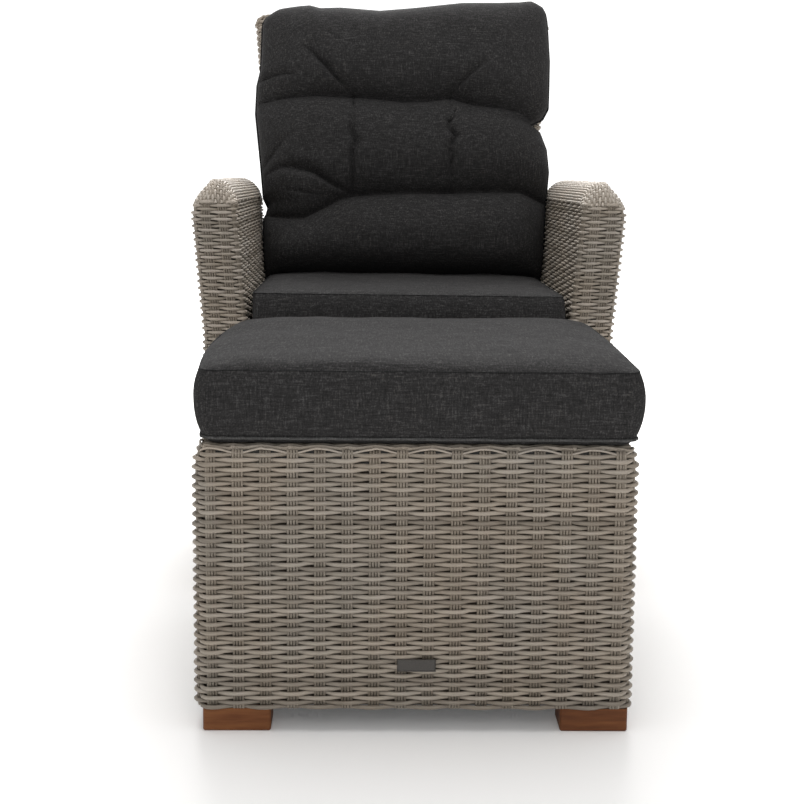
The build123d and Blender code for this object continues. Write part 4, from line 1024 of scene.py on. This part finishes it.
def back_cushion():
    """Three soft rolls between two deep channels, tufted at four points, with creases that run to the tufts."""
    quarter = math.pi / 2 * 0.93
    u, v = (np.sin(np.linspace(-1, 1, count) * quarter) / math.sin(quarter) for count in (231, 251))
    uu, vv = np.meshgrid(u, v, indexing="ij")
    seat_top = node_box("back_cushion")[0][2]
    seam = BACK_CUSHION_REAR - BACK_SEAM_DEPTH
    low = (seat_top - HINGE_Z + seam * math.sin(RAKE)) / math.cos(RAKE) - BACK_CUSHION_SAG
    height = low + (BACK_CUSHION_TOP - low) * (vv + 1) / 2
    half = np.where(uu < 0, along(LEFT_EDGE, height), along(RIGHT_EDGE, height))
    x = uu * half
    top_part = np.clip((vv - 0.5) / 0.5, 0, 1)
    height = height + along(TOP_EDGE, x) * top_part
    corner = np.clip((np.abs(uu) - 0.85) / 0.15, 0, 1) ** 2 * np.clip((np.abs(vv) - 0.85) / 0.15, 0, 1) ** 2
    x = x * (1 - 0.018 * corner)
    height = height - np.where(vv > 0, 8, 7) * MM * corner

    swell_x = (1 - np.abs(uu) ** 4.0) ** (1 / 2.6)
    swell_v = np.where(vv > 0, (1 - np.abs(vv) ** 5.0) ** (1 / 2.4), (1 - np.abs(vv) ** 12.0) ** (1 / 2.4))
    full = swell_x * swell_v
    front = (BACK_CUSHION_THICK - BACK_SEAM_DEPTH) * full - crease_depth(x, height) * np.clip(full * 1.6, 0, 1)
    index = np.arange(uu.size).reshape(uu.shape)
    border = np.concatenate([index[:, 0], index[-1, 1:], index[-2::-1, -1], index[0, -2:0:-1]])
    points = [from_back(x.ravel(), (seam - front).ravel(), height.ravel())]
    faces = [grid_quads(index)[:, ::-1]]
    rim_x, rim_height = x.ravel()[border], height.ravel()[border]
    ring = border
    for share in (0.985, 0.95, 0.88, 0.75, 0.5):
        depth = np.full(len(border), seam + BACK_SEAM_DEPTH * (1 - share ** 8) ** 0.5)
        level = rim_height.mean() * (1 - share) + rim_height * share
        points.append(from_back(share * rim_x, depth, level))
        inner = sum(len(part) for part in points[:-1]) + np.arange(len(border))
        faces.append(loop_quads(ring, inner))
        ring = inner
    near, far = ring[:len(ring) // 2], ring[::-1][:len(ring) // 2]
    faces.append(np.stack([near[:-1], near[1:], far[1:], far[:-1]], -1))
    points = np.concatenate(points)
    points[:, 1] += ripples(points, 0.8 * MM, 90 * MM, 3) + ripples(points, 0.35 * MM, 35 * MM, 4)
    piece = mesh_object("back_cushion_cover", points, np.concatenate(faces))
    add_piece(piece, "back", cloth_look, ("back_cushion",))

    pipe = Strands()
    path = points[border]
    away = path - path.mean(0)
    path = path + away / np.linalg.norm(away, axis=1)[:, None] * PIPING_OUT
    pipe.add(path, away, PIPING_RADIUS, sides=8, closed=True)
    # The piping wears the darker copy of the cloth: painted shade along the edge.
    add_piece(pipe.piece("back_cushion_piping"), "back", painted_shade_piping_look)


# Looks of the pieces whose own shape is right
def dress_nodes():
    looks = {"teak": teak_look, "tube": coated_look, "coated_steel": coated_look, "zinc_steel": zinc_look,
             "bright_rod": rod_look, "nylon": nylon_look, "grip_rubber": rubber_look}
    for node in frame["nodes"].values():
        slot = node.data.materials[0].name
        if slot in looks:
            dress(node, looks[slot])


# Floor, light and camera
SKY_FRONT = 0.3
SKY_BEHIND = 1.3
SKY_ABOVE = 0.3
FLOOR_GLOW = 1.0
FLOOR_HALF = 40.0
LIT_POINT = Vector((0, -0.2, 0.4))
# Each lamp's name, place, power and width
LAMPS = (("key", (0.0, -0.3, 3.2), 48, 3.0), ("rear", (0.0, 2.3, 2.7), 125, 2.0),
         ("fill", (0.0, -3.4, 1.6), 24, 1.6))
PHOTO_SIZE = 804
FOCAL_PIXELS = 1669
SENSOR = 36.0
CAMERA_HEIGHT = 0.768
CAMERA_Y = -2.709
CAMERA_X = -0.059
CAMERA_PITCH = math.radians(9.562)
CAMERA_YAW = math.radians(1.074)
CAMERA_ROLL = math.radians(0.513)


def sky_step(tree, way, start, end, low, high):
    """A smooth change of the sky's strength along one direction."""
    node = tree.nodes.new("ShaderNodeMapRange")
    node.interpolation_type = "SMOOTHSTEP"
    set_inputs(node, {"From Min": start, "From Max": end, "To Min": low, "To Max": high})
    link(tree, way, node.inputs["Value"])
    return node.outputs["Result"]


def floor_and_light():
    points = FLOOR_HALF * np.array([(-1, -1, 0), (1, -1, 0), (1, 1, 0), (-1, 1, 0)])
    floor = mesh_object("floor", points, [[0, 1, 2, 3]])
    made, tree, shader, place = material("pale_floor")
    set_inputs(shader, {"Base Color": (0.9, 0.89, 0.88, 1), "Roughness": 0.8, "Emission Color": (1, 1, 1, 1)})
    split = tree.nodes.new("ShaderNodeSeparateXYZ")
    link(tree, place, split.inputs[0])
    glow = sky_step(tree, split.outputs["Y"], 0.9, 3.5, 0.08, FLOOR_GLOW)
    link(tree, glow, shader.inputs["Emission Strength"])
    dress(floor, made)
    world = bpy.data.worlds.new("studio")
    bpy.context.scene.world = world
    world.use_nodes = True
    tree = world.node_tree
    way = tree.nodes.new("ShaderNodeSeparateXYZ")
    link(tree, tree.nodes.new("ShaderNodeTexCoord").outputs["Generated"], way.inputs[0])
    behind = sky_step(tree, way.outputs["Y"], 0.75, 0.95, SKY_FRONT, SKY_BEHIND)
    above = sky_step(tree, way.outputs["Z"], 0.3, 0.9, 0.0, SKY_ABOVE)
    strength = math_node(tree, "ADD", behind, above)
    tree.nodes["Background"].inputs["Color"].default_value = (1, 1, 1, 1)
    link(tree, strength, tree.nodes["Background"].inputs["Strength"])
    bpy.context.scene.view_settings.view_transform = "Standard"
    for name, place, power, wide in LAMPS:
        light = bpy.data.lights.new(name, "AREA")
        light.energy, light.size = power, wide
        lamp = linked(name, light)
        lamp.location = place
        lamp.rotation_euler = (LIT_POINT - Vector(place)).to_track_quat("-Z", "Y").to_euler()


def camera():
    data = bpy.data.cameras.new("view")
    data.sensor_width = SENSOR
    data.lens = FOCAL_PIXELS / PHOTO_SIZE * SENSOR
    eye = linked("view", data)
    eye.location = (CAMERA_X, CAMERA_Y, CAMERA_HEIGHT)
    aim = Vector((0, 0, -1))
    aim.rotate(Euler((math.pi / 2 - CAMERA_PITCH, 0, -CAMERA_YAW)))
    eye.rotation_mode = "QUATERNION"
    eye.rotation_quaternion = aim.to_track_quat("-Z", "Y") @ Quaternion((0, 0, 1), CAMERA_ROLL)
    bpy.context.scene.camera = eye


camera()
floor_and_light()
dress_nodes()
stool()
arm("left_arm", -1)
arm("right_arm", 1)
seat_box()
back_weave()
box_cushion("seat_cushion_cover", "base", "seat_cushion", 8 * MM, 14 * MM, 11, front_lift=5 * MM,
            rear_drop=10 * MM, tilt=1.5 * MM, side_share=0.2, corner=7 * MM)
box_cushion("stool_cushion_cover", "footstool", "stool_cushion", 14 * MM, 9 * MM, 21,
            turn=math.radians(-0.5), shift=4 * MM, widen=4.2 * MM, left_bow=11 * MM, narrow_below=3 * MM,
            narrow_behind=10 * MM, raise_top=4 * MM)
back_cushion()
